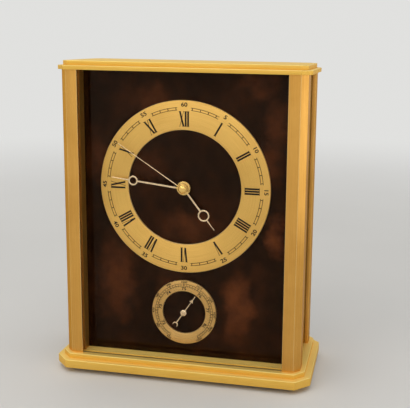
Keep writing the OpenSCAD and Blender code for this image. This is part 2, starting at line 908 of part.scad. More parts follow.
// A line that follows part of a circle, from one angle to another, clockwise from the top
module arc_line(r, start, end) {
    steps = round((end - start) / arc_step);
    turns = [for (i = [0 : steps]) start + (end - start) * i / steps];
    polygon(concat(
        [for (a = turns) clock_point(r, a)],
        [for (i = [steps : -1 : 0]) clock_point(r + line_w, turns[i])]
    ));
}

// A tick of a scale, from inside its inner line outwards
module tick(a, r, reach, w) {
    rotate(-a) translate([-w / 2, r - line_w / 2]) square([w, reach + line_w]);
}

module minute_track() {
    step = 360 / minutes;
    color([0.05, 0.04, 0.03])
    printed(dial_z) {
        for (h = [0 : hours - 1], r = [track_r - line_w, track_r + track_w])
            arc_line(r, step * (minutes_per_hour * h + 1), step * (minutes_per_hour * (h + 1) - 1));
        for (m = [0 : minutes - 1])
            if (m % minutes_per_hour != 0) tick(step * m, track_r, track_w, line_w);
    }
}

module barometer_scale() {
    step = 2 * scale_half_angle / scale_steps;
    color([0.05, 0.04, 0.03])
    printed(baro_z) {
        for (r = [scale_r - line_w, scale_r + scale_tick])
            arc_line(r, -scale_half_angle, scale_half_angle);
        for (i = [0 : scale_steps]) {
            major = i % scale_major == 0;
            tick(step * i - scale_half_angle, scale_r, major ? scale_major_tick : scale_tick,
                 major ? 2 * line_w : line_w);
        }
    }
}

/* Back door */

module back_door() {
    bottom = floor_z + door_gap;
    height = post_h - 2 * door_gap;
    color([0.16, 0.07, 0.04])
    difference() {
        translate([-door_half_w, door_in_y, bottom]) cube([2 * door_half_w, door_t, height]);
        for (z = [bottom - overrun, bottom + height - hinge_hold])
            translate([hinge_x, hinge_y, z])
                cylinder(h = hinge_hold + overrun, r = hinge_pin_r + run_play);
        translate([door_knob_x, door_in_y - overrun, door_knob_z]) rotate([-90, 0, 0])
            cylinder(h = door_t + 2 * overrun, d = small_screw_d + 2 * screw_play);
    }
}

module door_knob() {
    color([0.84, 0.64, 0.28])
    translate([door_knob_x, door_out_y, door_knob_z]) rotate([-90, 0, 0]) {
        rotate_extrude()
            polygon([for (share = knob_shares) [share[0] * door_knob_d / 2, share[1] * door_knob_h]]);
        translate([0, 0, -door_t - small_head_h]) {
            cylinder(h = small_head_h, d = small_head_d);
            cylinder(h = small_head_h + door_t + overrun, d = small_screw_d);
        }
    }
}

module hinge_pins() {
    length = hinge_hold + hinge_reach + door_gap - 2 * fit_play;
    color([0.60, 0.60, 0.62])
    for (z = [floor_z - hinge_reach + fit_play, roof_z + hinge_reach - fit_play - length])
        translate([hinge_x, hinge_y, z]) cylinder(h = length, r = hinge_pin_r);
}

module door_keeper() {
    color([0.62, 0.62, 0.64])
    translate([door_half_w - keeper_w, door_in_y - keeper_t, door_knob_z - keeper_h / 2])
        cube([keeper_w, keeper_t, keeper_h]);
}

module door_magnet() {
    width = keeper_w + door_gap;
    color([0.20, 0.20, 0.22])
    translate([post_in_x - width, door_in_y - keeper_t - keeper_gap - magnet_t,
               door_knob_z - keeper_h / 2])
        cube([width, magnet_t, keeper_h]);
}

/* Clock movement */

// Screws that hold the movement and the barometer to the bosses of the panel
module panel_screws() {
    color([0.60, 0.60, 0.63]) {
        for (s = [-1, 1]) {
            at = [s * movement_boss_x, 0];
            top = movement_boss_h + ear_t;
            layer([blind_skin - panel_t + fit_play, top + case_head_h / 2], dial_z, at)
                circle(d = case_screw_d);
            layer([top, top + case_head_h], dial_z, at) circle(d = case_head_d);
        }
        for (a = baro_boss_angles) {
            at = along([0, 0], a, baro_boss_place_r);
            top = baro_boss_h + can_wall;
            layer([blind_skin - panel_t + fit_play, top + small_head_h / 2], baro_z, at)
                circle(d = small_screw_d);
            layer([top, top + small_head_h], baro_z, at) circle(d = small_head_d);
        }
    }
}

module movement_front_shell() {
    split = movement_depth - shell_wall;
    corner = [half_side, half_side];
    inner = [inner_half, inner_half];
    color([0.12, 0.12, 0.13]) {
        difference() {
            layer([0, split], dial_z) round_rect(-corner, corner, shell_round);
            layer([shell_wall, split + overrun], dial_z) {
                round_rect([-inner_half, bay_top + shell_wall], inner, bay_round);
                round_rect(-inner, [inner_half, bay_top], bay_round);
            }
            layer([-overrun, shell_wall + overrun], dial_z) circle(hour_pipe_r + run_play);
            layer([shell_wall - pivot_sink - fit_play, shell_wall + overrun], dial_z, motion_at)
                circle(arbor_r + run_play);
            layer([shell_wall - pivot_sink - fit_play, shell_wall + overrun], dial_z, setting_at)
                circle(arbor_r + run_play);
        }
        ear_w = movement_boss_x - half_side + shell_wall / 2;
        for (s = [-1, 1])
            layer([movement_boss_h, movement_boss_h + ear_t], dial_z) difference() {
                union() {
                    translate([s * movement_boss_x, 0]) circle(movement_boss_r);
                    translate([s * (movement_boss_x - ear_w / 2), 0])
                        square([ear_w, 2 * movement_boss_r], center = true);
                }
                translate([s * movement_boss_x, 0]) circle(case_screw_d / 2 + screw_play);
            }
        for (at = pillars_at) {
            layer([shell_wall / 2, mid_layer[0]], dial_z, at) circle(pillar_foot_r);
            layer([shell_wall / 2, train_layer[0]], dial_z, at) circle(pillar_r);
            layer([shell_wall / 2, train_layer[1]], dial_z, at) circle(pillar_pin_r);
        }
    }
}

module movement_rear_shell() {
    split = movement_depth - shell_wall;
    lip = [train_layer[1] + run_play, split + shell_wall / 2];
    color([0.15, 0.15, 0.16]) {
        difference() {
            layer([split, movement_depth], dial_z)
                round_rect([-half_side, bay_top], [half_side, half_side], shell_round);
            layer([split - overrun, movement_depth + overrun], dial_z, setting_at)
                circle(shaft_r + run_play);
        }
        for (at = pillars_at) layer(lip, dial_z, at) circle(pillar_r);
    }
}

// A flat plate of the train with its bearing holes and the pillars' holes
module train_wall(depths, bores, pillar_hole_r) {
    difference() {
        layer(depths, dial_z) round_rect(plate_low, plate_high, shell_round);
        for (at = pillars_at)
            layer([depths[0] - overrun, depths[1] + overrun], dial_z, at) circle(pillar_hole_r);
        for (bore = bores)
            layer([depths[0] - overrun, depths[1] + overrun], dial_z, bore[0])
                circle(bore[1] + run_play);
    }
}

module mid_plate() {
    color([0.62, 0.62, 0.60])
    train_wall(mid_layer, [
        [[0, 0], cannon_r], [third_at, arbor_r], [rotor_at, arbor_r], [intermediate_at, arbor_r],
        [motion_at, arbor_r], [setting_at, shaft_r]
    ], pillar_r + run_play);
}

module train_plate() {
    color([0.66, 0.66, 0.64])
    train_wall(train_layer, [
        [[0, 0], second_arbor_r], [third_at, arbor_r], [rotor_at, arbor_r],
        [intermediate_at, arbor_r], [setting_at, shaft_r]
    ], pillar_pin_r + run_play);
}

module circuit_board() {
    color([0.10, 0.35, 0.16])
    difference() {
        layer(board_layer, dial_z) translate(board_low) square(board_high - board_low);
        layer([board_layer[0] - overrun, board_layer[1] + overrun], dial_z, pillars_at[1])
            circle(pillar_r + fit_play);
    }
}

module clock_chip() {
    color([0.04, 0.04, 0.04])
    facing(panel_back_y + board_layer[1] + chip_t, chip_at[0], dial_z + chip_at[1])
        cylinder(h = chip_t, r1 = chip_taper_share * chip_r, r2 = chip_r);
}

module quartz_crystal() {
    color([0.80, 0.80, 0.82])
    translate([crystal_at[0] - crystal_len / 2,
               panel_back_y + board_layer[1] + crystal_r + run_play, dial_z + crystal_at[1]])
        rotate([0, 90, 0]) cylinder(h = crystal_len, r = crystal_r);
}

module drive_coil() {
    middle = stator_layer[0] - core_t / 2;
    color([0.72, 0.36, 0.18])
    translate([coil_x, panel_back_y + middle, dial_z]) {
        translate([0, 0, coil_low]) cylinder(h = coil_high - coil_low, r = winding_share * coil_r);
        for (z = [coil_low, coil_high - core_t]) translate([0, 0, z]) cylinder(h = core_t, r = coil_r);
        translate([-core_w / 2, -core_t / 2, stator_low])
            cube([core_w, core_t, stator_high - stator_low]);
    }
}

module stator() {
    arm = stator_right - stator_neck;
    color([0.55, 0.56, 0.58])
    layer(stator_layer, dial_z) difference() {
        union() {
            translate([stator_left, stator_low])
                square([stator_neck - stator_left, stator_high - stator_low]);
            translate([stator_neck, stator_low]) square([arm, stator_arm]);
            translate([stator_neck, stator_high - stator_arm]) square([arm, stator_arm]);
        }
        translate(rotor_at) circle(stator_hole_r);
    }
}

module battery() {
    body_len = battery_len - nub_h;
    color([0.80, 0.55, 0.20])
    translate([-battery_len / 2, panel_back_y + battery_depth, dial_z + battery_z]) rotate([0, 90, 0]) {
        cylinder(h = body_len, d = battery_d);
        cylinder(h = battery_len, r = nub_r);
    }
}

module battery_contacts() {
    reach = inner_half - battery_len / 2;
    color([0.78, 0.78, 0.74])
    for (s = [-1, 1])
        translate([s * inner_half, panel_back_y + battery_depth, dial_z + battery_z]) {
            translate([-s * contact_t / 2, 0, 0]) cube([contact_t, contact_w, contact_w], center = true);
            translate([-s * reach / 2, 0, 0]) rotate([0, 90, 0])
                cylinder(h = reach, r = nub_r, center = true);
        }
}

// A toothed wheel in one layer, with a tooth or a gap turned to a direction
module wheel(teeth, mod, depths, at, turn) {
    layer(depths, dial_z, at) rotate(turn) polygon(gear_points(teeth, mod));
}

// Turn of a wheel so that a gap faces a direction
function gap_turn(teeth, dir) = dir + 180 / teeth;

module arbor(start, end, at, r) {
    layer([start, end], dial_z, at) circle(r);
}

module rotor() {
    color([0.70, 0.70, 0.72]) {
        arbor(train_arbor[0], train_arbor[1], rotor_at, arbor_r);
        arbor(magnet_layer[0], magnet_layer[1], rotor_at, magnet_r);
        wheel(pinion_teeth, rotor_mod, rotor_pinion_layer, rotor_at,
              gap_turn(pinion_teeth, rotor_dir + 180));
    }
}

module intermediate_wheel() {
    color([0.92, 0.92, 0.88]) {
        arbor(train_arbor[0], train_arbor[1], intermediate_at, arbor_r);
        wheel(intermediate_teeth, rotor_mod, intermediate_layer, intermediate_at, rotor_dir);
        wheel(pinion_teeth, second_mod, intermediate_pinion_layer, intermediate_at,
              gap_turn(pinion_teeth, intermediate_dir + 180));
    }
}

module second_wheel() {
    front = -panel_t - second_lift_top;
    color([0.90, 0.90, 0.86]) {
        arbor(front, train_arbor[1], [0, 0], second_arbor_r);
        wheel(second_teeth, second_mod, second_layer, [0, 0], intermediate_dir);
        wheel(pinion_teeth, third_mod, second_pinion_layer, [0, 0],
              gap_turn(pinion_teeth, third_dir));
    }
}

module third_wheel() {
    color([0.92, 0.92, 0.88]) {
        arbor(train_arbor[0], train_arbor[1], third_at, arbor_r);
        wheel(third_teeth, third_mod, third_layer, third_at, third_dir + 180);
        wheel(pinion_teeth, centre_mod, third_pinion_layer, third_at,
              gap_turn(pinion_teeth, third_dir + 180));
    }
}

module centre_wheel() {
    color([0.86, 0.86, 0.80])
    difference() {
        wheel(centre_teeth, centre_mod, centre_layer, [0, 0], third_dir);
        layer([centre_layer[0] - overrun, centre_layer[1] + overrun], dial_z)
            circle(cannon_r + run_play);
    }
}

module cannon_pinion() {
    front = -panel_t - minute_lift - hand_t - pipe_stub;
    back = centre_layer[1] + clutch_tail;
    color([0.80, 0.66, 0.36])
    difference() {
        union() {
            arbor(front, back, [0, 0], cannon_r);
            wheel(cannon_teeth, motion_mod, cannon_layer, [0, 0], gap_turn(cannon_teeth, motion_dir));
        }
        arbor(front - overrun, back + overrun, [0, 0], second_arbor_r + run_play);
    }
}

module motion_wheel() {
    color([0.92, 0.92, 0.88]) {
        arbor(shell_wall - pivot_sink, mid_layer[1] - fit_play, motion_at, arbor_r);
        wheel(motion_teeth, motion_mod, motion_layer, motion_at, motion_dir + 180);
        wheel(motion_pinion_teeth, hour_mod, motion_pinion_layer, motion_at,
              gap_turn(motion_pinion_teeth, motion_dir + 180));
    }
}

module hour_wheel() {
    front = -panel_t - hour_lift - hand_t - pipe_stub;
    color([0.92, 0.92, 0.88])
    difference() {
        union() {
            arbor(front, hour_layer[1], [0, 0], hour_pipe_r);
            wheel(hour_teeth, hour_mod, hour_layer, [0, 0], motion_dir);
        }
        arbor(front - overrun, hour_layer[1] + overrun, [0, 0], cannon_r + run_play);
    }
}

module setting_knob() {
    head = movement_depth + knob_gap;
    flutes = 18;
    // The gear meets the motion wheel's tooth where that wheel has one in this direction
    turn = 360 / motion_teeth * round((setting_dir - motion_dir - 180) / (360 / motion_teeth));
    off = setting_dir - motion_dir - 180 - turn;
    color([0.85, 0.85, 0.85]) {
        arbor(shell_wall - pivot_sink, motion_layer[1], setting_at, arbor_r);
        arbor(motion_layer[0], head + setting_knob_h / 2, setting_at, shaft_r);
        wheel(setting_teeth, motion_mod, motion_layer, setting_at,
              gap_turn(setting_teeth, setting_dir + 180) + off * motion_teeth / setting_teeth);
        layer([head, head + setting_knob_h], dial_z, setting_at) difference() {
            circle(d = setting_knob_d);
            for (i = [0 : flutes - 1])
                rotate(360 * i / flutes) translate([setting_knob_d / 2, 0]) circle(slot_w / 2);
        }
    }
}

/* Hands */

// A hand with an open ring in its shaft, pointing up, drawn flat
module ring_hand(length, eye_r, eye_d, boss_d) {
    difference() {
        union() {
            circle(d = boss_d);
            translate([-hand_w / 2, 0]) square([hand_w, eye_r]);
            translate([0, eye_r]) circle(d = eye_d);
            polygon([
                [-hand_w / 2, eye_r], [hand_w / 2, eye_r],
                [hand_tip_w / 2, length], [-hand_tip_w / 2, length]
            ]);
        }
        translate([0, eye_r]) circle(d = eye_d - 2 * hand_w);
    }
}

// Place a hand's drawing at its lift in front of the panel and its angle
module hand_plane(lift, thickness, angle) {
    facing(panel_front_y - lift, 0, dial_z) rotate(-angle) linear_extrude(thickness) children();
}

module hour_hand() {
    color([0.93, 0.78, 0.55])
    difference() {
        union() {
            hand_plane(hour_lift, hand_t, hour_angle)
                ring_hand(hour_len, hour_eye_r, hour_eye_d, hour_boss_d);
            hand_plane(hour_lift, hand_t + 2 * boss_extra, 0) circle(d = hour_boss_d - 2 * boss_extra);
        }
        hand_plane(hour_lift - overrun, hand_t + 2 * overrun + boss_extra, 0)
            circle(hour_pipe_r + run_play);
    }
}

module minute_hand() {
    color([0.93, 0.78, 0.55])
    difference() {
        union() {
            hand_plane(minute_lift, hand_t, minute_angle)
                ring_hand(minute_len, minute_eye_r, minute_eye_d, minute_boss_d);
            hand_plane(minute_lift, hand_t + boss_extra, 0) circle(d = minute_boss_d - 2 * boss_extra);
        }
        hand_plane(minute_lift - overrun, hand_t + 2 * overrun + boss_extra, 0)
            circle(cannon_r + run_play);
    }
}

module second_hand() {
    color([0.93, 0.78, 0.60])
    difference() {
        union() {
            hand_plane(second_lift, second_t, second_angle)
                polygon([
                    [-second_w / 2, -second_tail], [second_w / 2, -second_tail],
                    [second_w / 2, 0], [second_w / 4, second_len],
                    [-second_w / 4, second_len], [-second_w / 2, 0]
                ]);
            hand_plane(second_lift, second_t + boss_extra, 0) circle(second_boss_r);
        }
        hand_plane(second_lift - overrun, second_t + 2 * overrun, 0) circle(second_arbor_r + run_play);
    }
}

// A flat dome: the top of a sphere over the second hand's boss
module hand_cap() {
    r = hand_cap_d / 2;
    sphere_r = (r * r + hand_cap_h * hand_cap_h) / (2 * hand_cap_h);
    color([0.88, 0.70, 0.32])
    facing(panel_front_y - second_lift_top, 0, dial_z)
        intersection() {
            translate([0, 0, hand_cap_h - sphere_r]) sphere(sphere_r);
            cylinder(h = hand_cap_h, r = r);
        }
}

/* Barometer */

module barometer_can() {
    r = can_d / 2;
    color([0.70, 0.56, 0.28])
    difference() {
        union() {
            layer([can_front, can_back], baro_z) circle(r);
            layer([can_front, can_front + can_wall], baro_z)
                for (a = baro_boss_angles) {
                    translate(along([0, 0], a, baro_boss_place_r)) circle(baro_boss_r);
                    rotate(a) translate([0, -baro_boss_r]) square([baro_boss_place_r, 2 * baro_boss_r]);
                }
        }
        layer([can_front - overrun, can_floor], baro_z) circle(r - can_wall);
        layer([can_floor - overrun, can_back + overrun], baro_z) circle(adjust_r + run_play);
        for (a = baro_boss_angles)
            layer([can_front - overrun, can_front + can_wall + overrun], baro_z,
                  along([0, 0], a, baro_boss_place_r))
                circle(small_screw_d / 2 + screw_play);
    }
}

module barometer_plate() {
    r = can_d / 2 - can_wall - fit_play;
    color([0.80, 0.64, 0.32]) {
        difference() {
            union() {
                layer(plate_layer, baro_z) circle(r);
                layer([bush_front, plate_layer[1]], baro_z) circle(bush_r);
            }
            layer([bush_front - overrun, plate_layer[1] + overrun], baro_z)
                circle(pointer_arbor_r + run_play);
            layer([plate_layer[0] - overrun, plate_layer[1] + overrun], baro_z, sector_at)
                circle(sector_pivot_r + run_play);
        }
        for (a = plate_pillar_angles)
            layer([plate_layer[0], can_floor], baro_z, along([0, 0], a, plate_pillar_place_r))
                circle(plate_pillar_r);
    }
}

// Half the thickness of the capsule at a radius: waves between the post and the rim
function capsule_half(r) =
    let (r0 = capsule_boss_r, r1 = capsule_d / 2 - capsule_rim)
    capsule_t / 2 - wave_h / 2 + wave_h / 2 * cos(360 * capsule_waves * (r - r0) / (r1 - r0));

module aneroid_capsule() {
    steps = 8 * capsule_waves;
    r0 = capsule_boss_r;
    r1 = capsule_d / 2 - capsule_rim;
    radii = [for (i = [0 : steps]) r0 + (r1 - r0) * i / steps];
    color([0.78, 0.74, 0.62])
    facing(panel_back_y + capsule_back - capsule_t / 2, 0, baro_z) {
        rotate_extrude() polygon(concat(
            [[0, capsule_t / 2]],
            [for (r = radii) [r, capsule_half(r)]],
            [[capsule_d / 2, capsule_rim], [capsule_d / 2, -capsule_rim]],
            [for (i = [steps : -1 : 0]) [radii[i], -capsule_half(radii[i])]],
            [[0, -capsule_t / 2]]
        ));
        cylinder(h = capsule_t / 2 + capsule_front - spring_layer[1], r = capsule_post_r);
        translate([0, 0, -capsule_t / 2 - capsule_stand]) difference() {
            cylinder(h = capsule_stand + capsule_t / 4, r = capsule_boss_r);
            translate([0, 0, -overrun])
                cylinder(h = capsule_stand + overrun, r = adjust_r + run_play);
        }
    }
}

module capsule_spring() {
    half = spring_w / 2;
    left = spring_foot_x - spring_foot_t / 2;
    color([0.50, 0.50, 0.54]) {
        layer(spring_layer, baro_z) polygon([
            [left, -half], [spring_foot_x + spring_foot_t / 2, -half],
            [spring_end_x, -half / 2], [spring_end_x, half / 2],
            [spring_foot_x + spring_foot_t / 2, half], [left, half]
        ]);
        layer([spring_layer[0], can_floor], baro_z)
            translate([left, -half]) square([spring_foot_t, spring_w]);
    }
}

module pointer_arbor() {
    front = -panel_t - stub_lift;
    color([0.70, 0.70, 0.72]) {
        layer([front, arbor_end], baro_z) circle(pointer_arbor_r);
        layer(pinion_layer, baro_z) rotate(gap_turn(pointer_teeth, sector_dir))
            polygon(gear_points(pointer_teeth, sector_mod));
    }
}

// The pointer's needle with its arrowhead and tail crescent, pointing up, drawn flat
module needle() {
    wing = arrow_wing_share * pointer_w;
    head = arrow_head_share * pointer_w;
    polygon([
        [-pointer_w / 2, -crescent_r + crescent_d / 2 - pointer_w],
        [pointer_w / 2, -crescent_r + crescent_d / 2 - pointer_w],
        [pointer_w / 2, arrow_r], [pointer_w / 3, pointer_len],
        [-pointer_w / 3, pointer_len], [-pointer_w / 2, arrow_r]
    ]);
    polygon([
        [0, arrow_r + head], [wing, arrow_r - head / 2], [0, arrow_r - head / 5],
        [-wing, arrow_r - head / 2]
    ]);
    translate([0, -crescent_r]) difference() {
        circle(d = crescent_d);
        translate([0, -pointer_w / 2]) circle(d = crescent_d - pointer_w - pointer_w / 3);
        translate([-crescent_d, -2 * crescent_d - crescent_d / 6])
            square([2 * crescent_d, 2 * crescent_d]);
    }
}

module barometer_pointer() {
    hub_r = pointer_hub_d / 2;
    bore_r = pointer_arbor_r + run_play;
    bore_top = stub_lift - pointer_lift + run_play;
    color([0.92, 0.80, 0.62])
    facing(panel_front_y - pointer_lift, 0, baro_z) {
        difference() {
            linear_extrude(pointer_t) rotate(-pointer_angle) needle();
            translate([0, 0, -overrun]) cylinder(h = pointer_t + 2 * overrun, r = (bore_r + hub_r) / 2);
        }
        rotate_extrude() polygon([
            [bore_r, 0], [hub_r, 0], [hub_r, bore_top], [hub_top_share * hub_r, bore_top + pointer_t],
            [0, bore_top + pointer_t], [0, bore_top], [bore_r, bore_top]
        ]);
    }
}

module sector_lever() {
    ratio = pointer_teeth / sector_teeth;
    facing_dir = sector_dir + 180;
    clockwise = (scale_half_angle - pointer_angle) * ratio + sector_margin;
    anticlockwise = (scale_half_angle + pointer_angle) * ratio + sector_margin;
    reach = sector_mod * sector_teeth;
    color([0.84, 0.68, 0.36]) {
        layer(sector_layer, baro_z, sector_at) {
            intersection() {
                rotate(facing_dir) polygon(gear_points(sector_teeth, sector_mod));
                polygon([
                    [0, 0],
                    along([0, 0], facing_dir - clockwise, reach),
                    along([0, 0], facing_dir, reach),
                    along([0, 0], facing_dir + anticlockwise, reach)
                ]);
            }
            circle(sector_hub_r);
            rotate(facing_dir + 180) translate([0, -sector_tail_w / 2])
                square([sector_tail, sector_tail_w]);
        }
        layer([plate_layer[0] + fit_play, arbor_end], baro_z, sector_at) circle(sector_pivot_r);
    }
}

module adjusting_screw() {
    head = can_back + run_play;
    color([0.78, 0.62, 0.30]) {
        layer([capsule_back + fit_play, head + (adjust_head_h - slot_cut) / 2], baro_z) circle(adjust_r);
        layer([head, head + adjust_head_h], baro_z) difference() {
            circle(adjust_head_r);
            square([2 * adjust_head_r, slot_w], center = true);
        }
        layer([head, head + adjust_head_h - slot_cut], baro_z) circle(adjust_head_r);
    }
}

feet();
underside_pad();
base_slab();
base_step();
post_front_left();
post_front_right();
post_rear_left();
post_rear_right();
cornice_lower();
cornice_upper();
base_screws();
cornice_screws();
front_glass();
glass_strip();
side_panel_left();
side_panel_right();
dial_panel();
chapter_ring();
hour_numerals();
minute_track();
barometer_ring();
barometer_scale();
back_door();
door_knob();
hinge_pins();
door_keeper();
door_magnet();
movement_front_shell();
movement_rear_shell();
panel_screws();
mid_plate();
train_plate();
circuit_board();
clock_chip();
quartz_crystal();
drive_coil();
stator();
battery();
battery_contacts();
rotor();
intermediate_wheel();
second_wheel();
second_hand();
hand_cap();
third_wheel();
centre_wheel();
cannon_pinion();
minute_hand();
motion_wheel();
hour_wheel();
hour_hand();
setting_knob();
barometer_can();
barometer_plate();
aneroid_capsule();
capsule_spring();
pointer_arbor();
barometer_pointer();
sector_lever();
adjusting_screw();
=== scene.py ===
"""Visual model of a barometer clock: gilt case, lacquered dial panel, two rings and their hands.

The pieces that show are modelled here in millimetres with Blender's own tools and brought to metres
at the end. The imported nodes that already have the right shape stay, and get their finishes.
"""

import json
import logging
import math
from collections.abc import Callable, Iterable, Sequence
from dataclasses import dataclass
from enum import Enum

import bmesh
import bpy
from mathutils import Matrix, Vector

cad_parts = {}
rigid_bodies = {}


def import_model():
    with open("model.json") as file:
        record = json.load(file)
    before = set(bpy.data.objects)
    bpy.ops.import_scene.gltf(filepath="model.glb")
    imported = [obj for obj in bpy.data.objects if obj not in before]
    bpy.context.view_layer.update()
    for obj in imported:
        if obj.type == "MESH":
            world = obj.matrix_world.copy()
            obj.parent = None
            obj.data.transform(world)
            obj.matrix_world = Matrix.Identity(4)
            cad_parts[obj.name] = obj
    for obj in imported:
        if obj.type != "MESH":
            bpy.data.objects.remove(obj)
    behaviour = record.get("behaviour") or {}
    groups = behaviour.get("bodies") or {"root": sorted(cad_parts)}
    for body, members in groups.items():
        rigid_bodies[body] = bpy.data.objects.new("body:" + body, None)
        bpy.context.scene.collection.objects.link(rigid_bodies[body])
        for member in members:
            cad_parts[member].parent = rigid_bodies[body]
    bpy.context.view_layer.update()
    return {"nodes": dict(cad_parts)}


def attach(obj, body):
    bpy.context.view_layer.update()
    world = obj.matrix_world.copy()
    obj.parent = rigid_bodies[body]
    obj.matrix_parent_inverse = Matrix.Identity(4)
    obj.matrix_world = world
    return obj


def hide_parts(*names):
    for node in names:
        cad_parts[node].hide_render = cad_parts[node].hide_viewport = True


Colour = tuple[float, float, float]
Place = tuple[float, float, float]
Step = tuple[float, float]
Profile = tuple[Step, ...]
EdgeTest = Callable[[Vector, Vector], bool]
FaceMark = Callable[[Vector, Vector], float]
Socket = bpy.types.NodeSocket

LOG = logging.getLogger("barometer_clock")
MM = 0.001
# Face attribute that weights the painted highlight: paler, smoother bevels and ledge tops on the metals.
ATTRIBUTE_PAINTED_HIGHLIGHT = "rubbed"

# Heights in mm of the two dials' centres.
DIAL_Z = 111.8
BARO_Z = 37.5

# Unit of a pattern along an axis that it must not change along, in mm.
ENDLESS = 1e6
# Length of a brushed line and size of a cast grain, both as multiples of the grain's width.
STRAND_LENGTH = 90
CAST_SIZE = 3

# Distances in mm below which an edge lies where it is looked for, two places are the same one,
# and points are merged.
CLOSE = 0.01
NEAR = 1e-3
MERGED = 1e-4
# Share of a direction that lies along an axis: it follows the axis, or it is square to it.
ALONG = 0.99
ACROSS = 0.01
# The same share of a face's normal: the face lies flat, or it slopes enough to be rubbed.
FLAT = 0.97
SLOPING = 0.1

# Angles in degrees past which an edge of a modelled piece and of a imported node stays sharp.
SHARP_ANGLE = 30.0
NODE_SHARP_ANGLE = 32.0
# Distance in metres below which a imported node's corners are welded.
NODE_WELD = 2e-6

# Numbers of sides of turned pieces.
RING_SIDES = 256
LINE_SIDES = 240
FLOOR_SIDES = 96
KNOB_SIDES = 72
HAND_SIDES = 64
SMALL_SIDES = 48
BORE_SIDES = 32

# The built-in type: height of its digits as a share of its size, and how much they are widened.
DIGIT_SHARE = 0.72
DIGIT_STRETCH = 1.2
# Extra width on both sides of a printed stroke, as a share of the digit's height.
STROKE_GAIN = 0.035

# Points of a bevel, inwards and downwards, as shares of its width: on the dials and on the hands.
DIAL_BEVEL: Profile = ((0.0, 1.0), (0.12, 0.55), (0.45, 0.12), (1.0, 0.0))
HAND_BEVEL: Profile = ((0.0, 1.0), (0.3, 0.3), (1.0, 0.0))


# ----------------------------------------------------------------------------------------- finishes
class Grain(Enum):
    """The way in which a metal face was brushed."""

    ALONG_X = "along the width"
    ALONG_Z = "along the height"
    ROUND = "round an axis from front to back"
    CAST = "none"


class Bench:
    """Lays out the nodes of one material."""

    def __init__(self, name: str) -> None:
        """Start an empty material.

        Args:
            name: Name of the material.
        """
        self.material = bpy.data.materials.new(name)
        self.material.use_nodes = True
        self.tree = self.material.node_tree
        self.tree.nodes.clear()

    def node(self, kind: str, inputs: dict | None = None, **settings: object) -> bpy.types.Node:
        """Add a node.

        Args:
            kind: Blender's name of the node type.
            inputs: Values or sockets for its inputs, by name or number.
            **settings: Other properties of the node.

        Returns:
            The new node.
        """
        node = self.tree.nodes.new(kind)
        for key, value in settings.items():
            setattr(node, key, value)
        for key, value in (inputs or {}).items():
            if isinstance(value, Socket):
                self.tree.links.new(value, node.inputs[key])
            else:
                node.inputs[key].default_value = value
        return node

    def place(self, centre: Place = (0, 0, 0), size: Place = (1, 1, 1)) -> Socket:
        """Give object coordinates in units of a pattern's size.

        Args:
            centre: Centre of the pattern, in mm.
            size: Length of one unit of the pattern along each axis, in mm.

        Returns:
            The vector socket.
        """
        place = self.node("ShaderNodeTexCoord").outputs["Object"]
        mapping = self.node(
            "ShaderNodeMapping",
            {
                "Vector": place,
                "Location": [c * MM for c in centre],
                "Scale": [s * MM for s in size],
            },
            vector_type="TEXTURE",
        )
        return mapping.outputs[0]

    def length(self, vector: Socket) -> Socket:
        """Give the length of a vector."""
        return self.node("ShaderNodeVectorMath", {0: vector}, operation="LENGTH").outputs["Value"]

    def rubbed(self) -> Socket:
        """Give the weight of a face's painted highlight."""
        return self.node("ShaderNodeAttribute", attribute_name=ATTRIBUTE_PAINTED_HIGHLIGHT).outputs["Fac"]

    def noise(self, vector: Socket, detail: float = 2, rough: float = 0.5) -> Socket:
        """Give a noise of unit size.

        Args:
            vector: Where the noise is read.
            detail: Number of finer octaves.
            rough: Weight of the finer octaves.

        Returns:
            The noise's value, about 0.5 on average.
        """
        inputs = {"Vector": vector, "Scale": 1, "Detail": detail, "Roughness": rough}
        return self.node("ShaderNodeTexNoise", inputs).outputs[0]

    def sum(self, how: str, *terms: float | Socket) -> Socket:
        """Do one sum on numbers.

        Args:
            how: Blender's name of the operation.
            *terms: Numbers or sockets.

        Returns:
            The result's socket.
        """
        return self.node("ShaderNodeMath", dict(enumerate(terms)), operation=how).outputs[0]

    def span(
        self, value: Socket, low: float, high: float, start: float = 0.0, end: float = 1.0
    ) -> Socket:
        """Bring a value from one span to another, smoothly and clamped.

        Args:
            value: The value.
            low: Value that becomes start.
            high: Value that becomes end.
            start: Result at low.
            end: Result at high.

        Returns:
            The result's socket.
        """
        inputs = {0: value, 1: low, 2: high, 3: start, 4: end}
        return self.node("ShaderNodeMapRange", inputs, interpolation_type="SMOOTHSTEP").outputs[0]

    def blend(self, share: object, first: object, second: object) -> Socket:
        """Mix two colours.

        Args:
            share: Share of the second colour, a number or a socket.
            first: First colour.
            second: Second colour.

        Returns:
            The mixed colour's socket.
        """
        inputs = {0: share, 6: opaque(first), 7: opaque(second)}
        return self.node("ShaderNodeMix", inputs, data_type="RGBA").outputs[2]

    def bump(self, height: Socket, depth: float) -> Socket:
        """Give normals that follow a relief.

        Args:
            height: The relief, from 0 to 1.
            depth: Its depth in mm.

        Returns:
            The normal's socket.
        """
        inputs = {"Height": height, "Strength": 1.0, "Distance": depth * MM}
        return self.node("ShaderNodeBump", inputs).outputs[0]

    def shade(self, inputs: dict) -> bpy.types.Node:
        """Add the main shader and the output, linked.

        Args:
            inputs: Inputs of the shader.

        Returns:
            The shader node.
        """
        shader = self.node("ShaderNodeBsdfPrincipled", inputs)
        self.node("ShaderNodeOutputMaterial", {"Surface": shader.outputs[0]})
        return shader


def opaque(colour: object) -> object:
    """Give a colour its alpha. A socket passes unchanged."""
    return colour if isinstance(colour, Socket) else (*colour, 1.0)


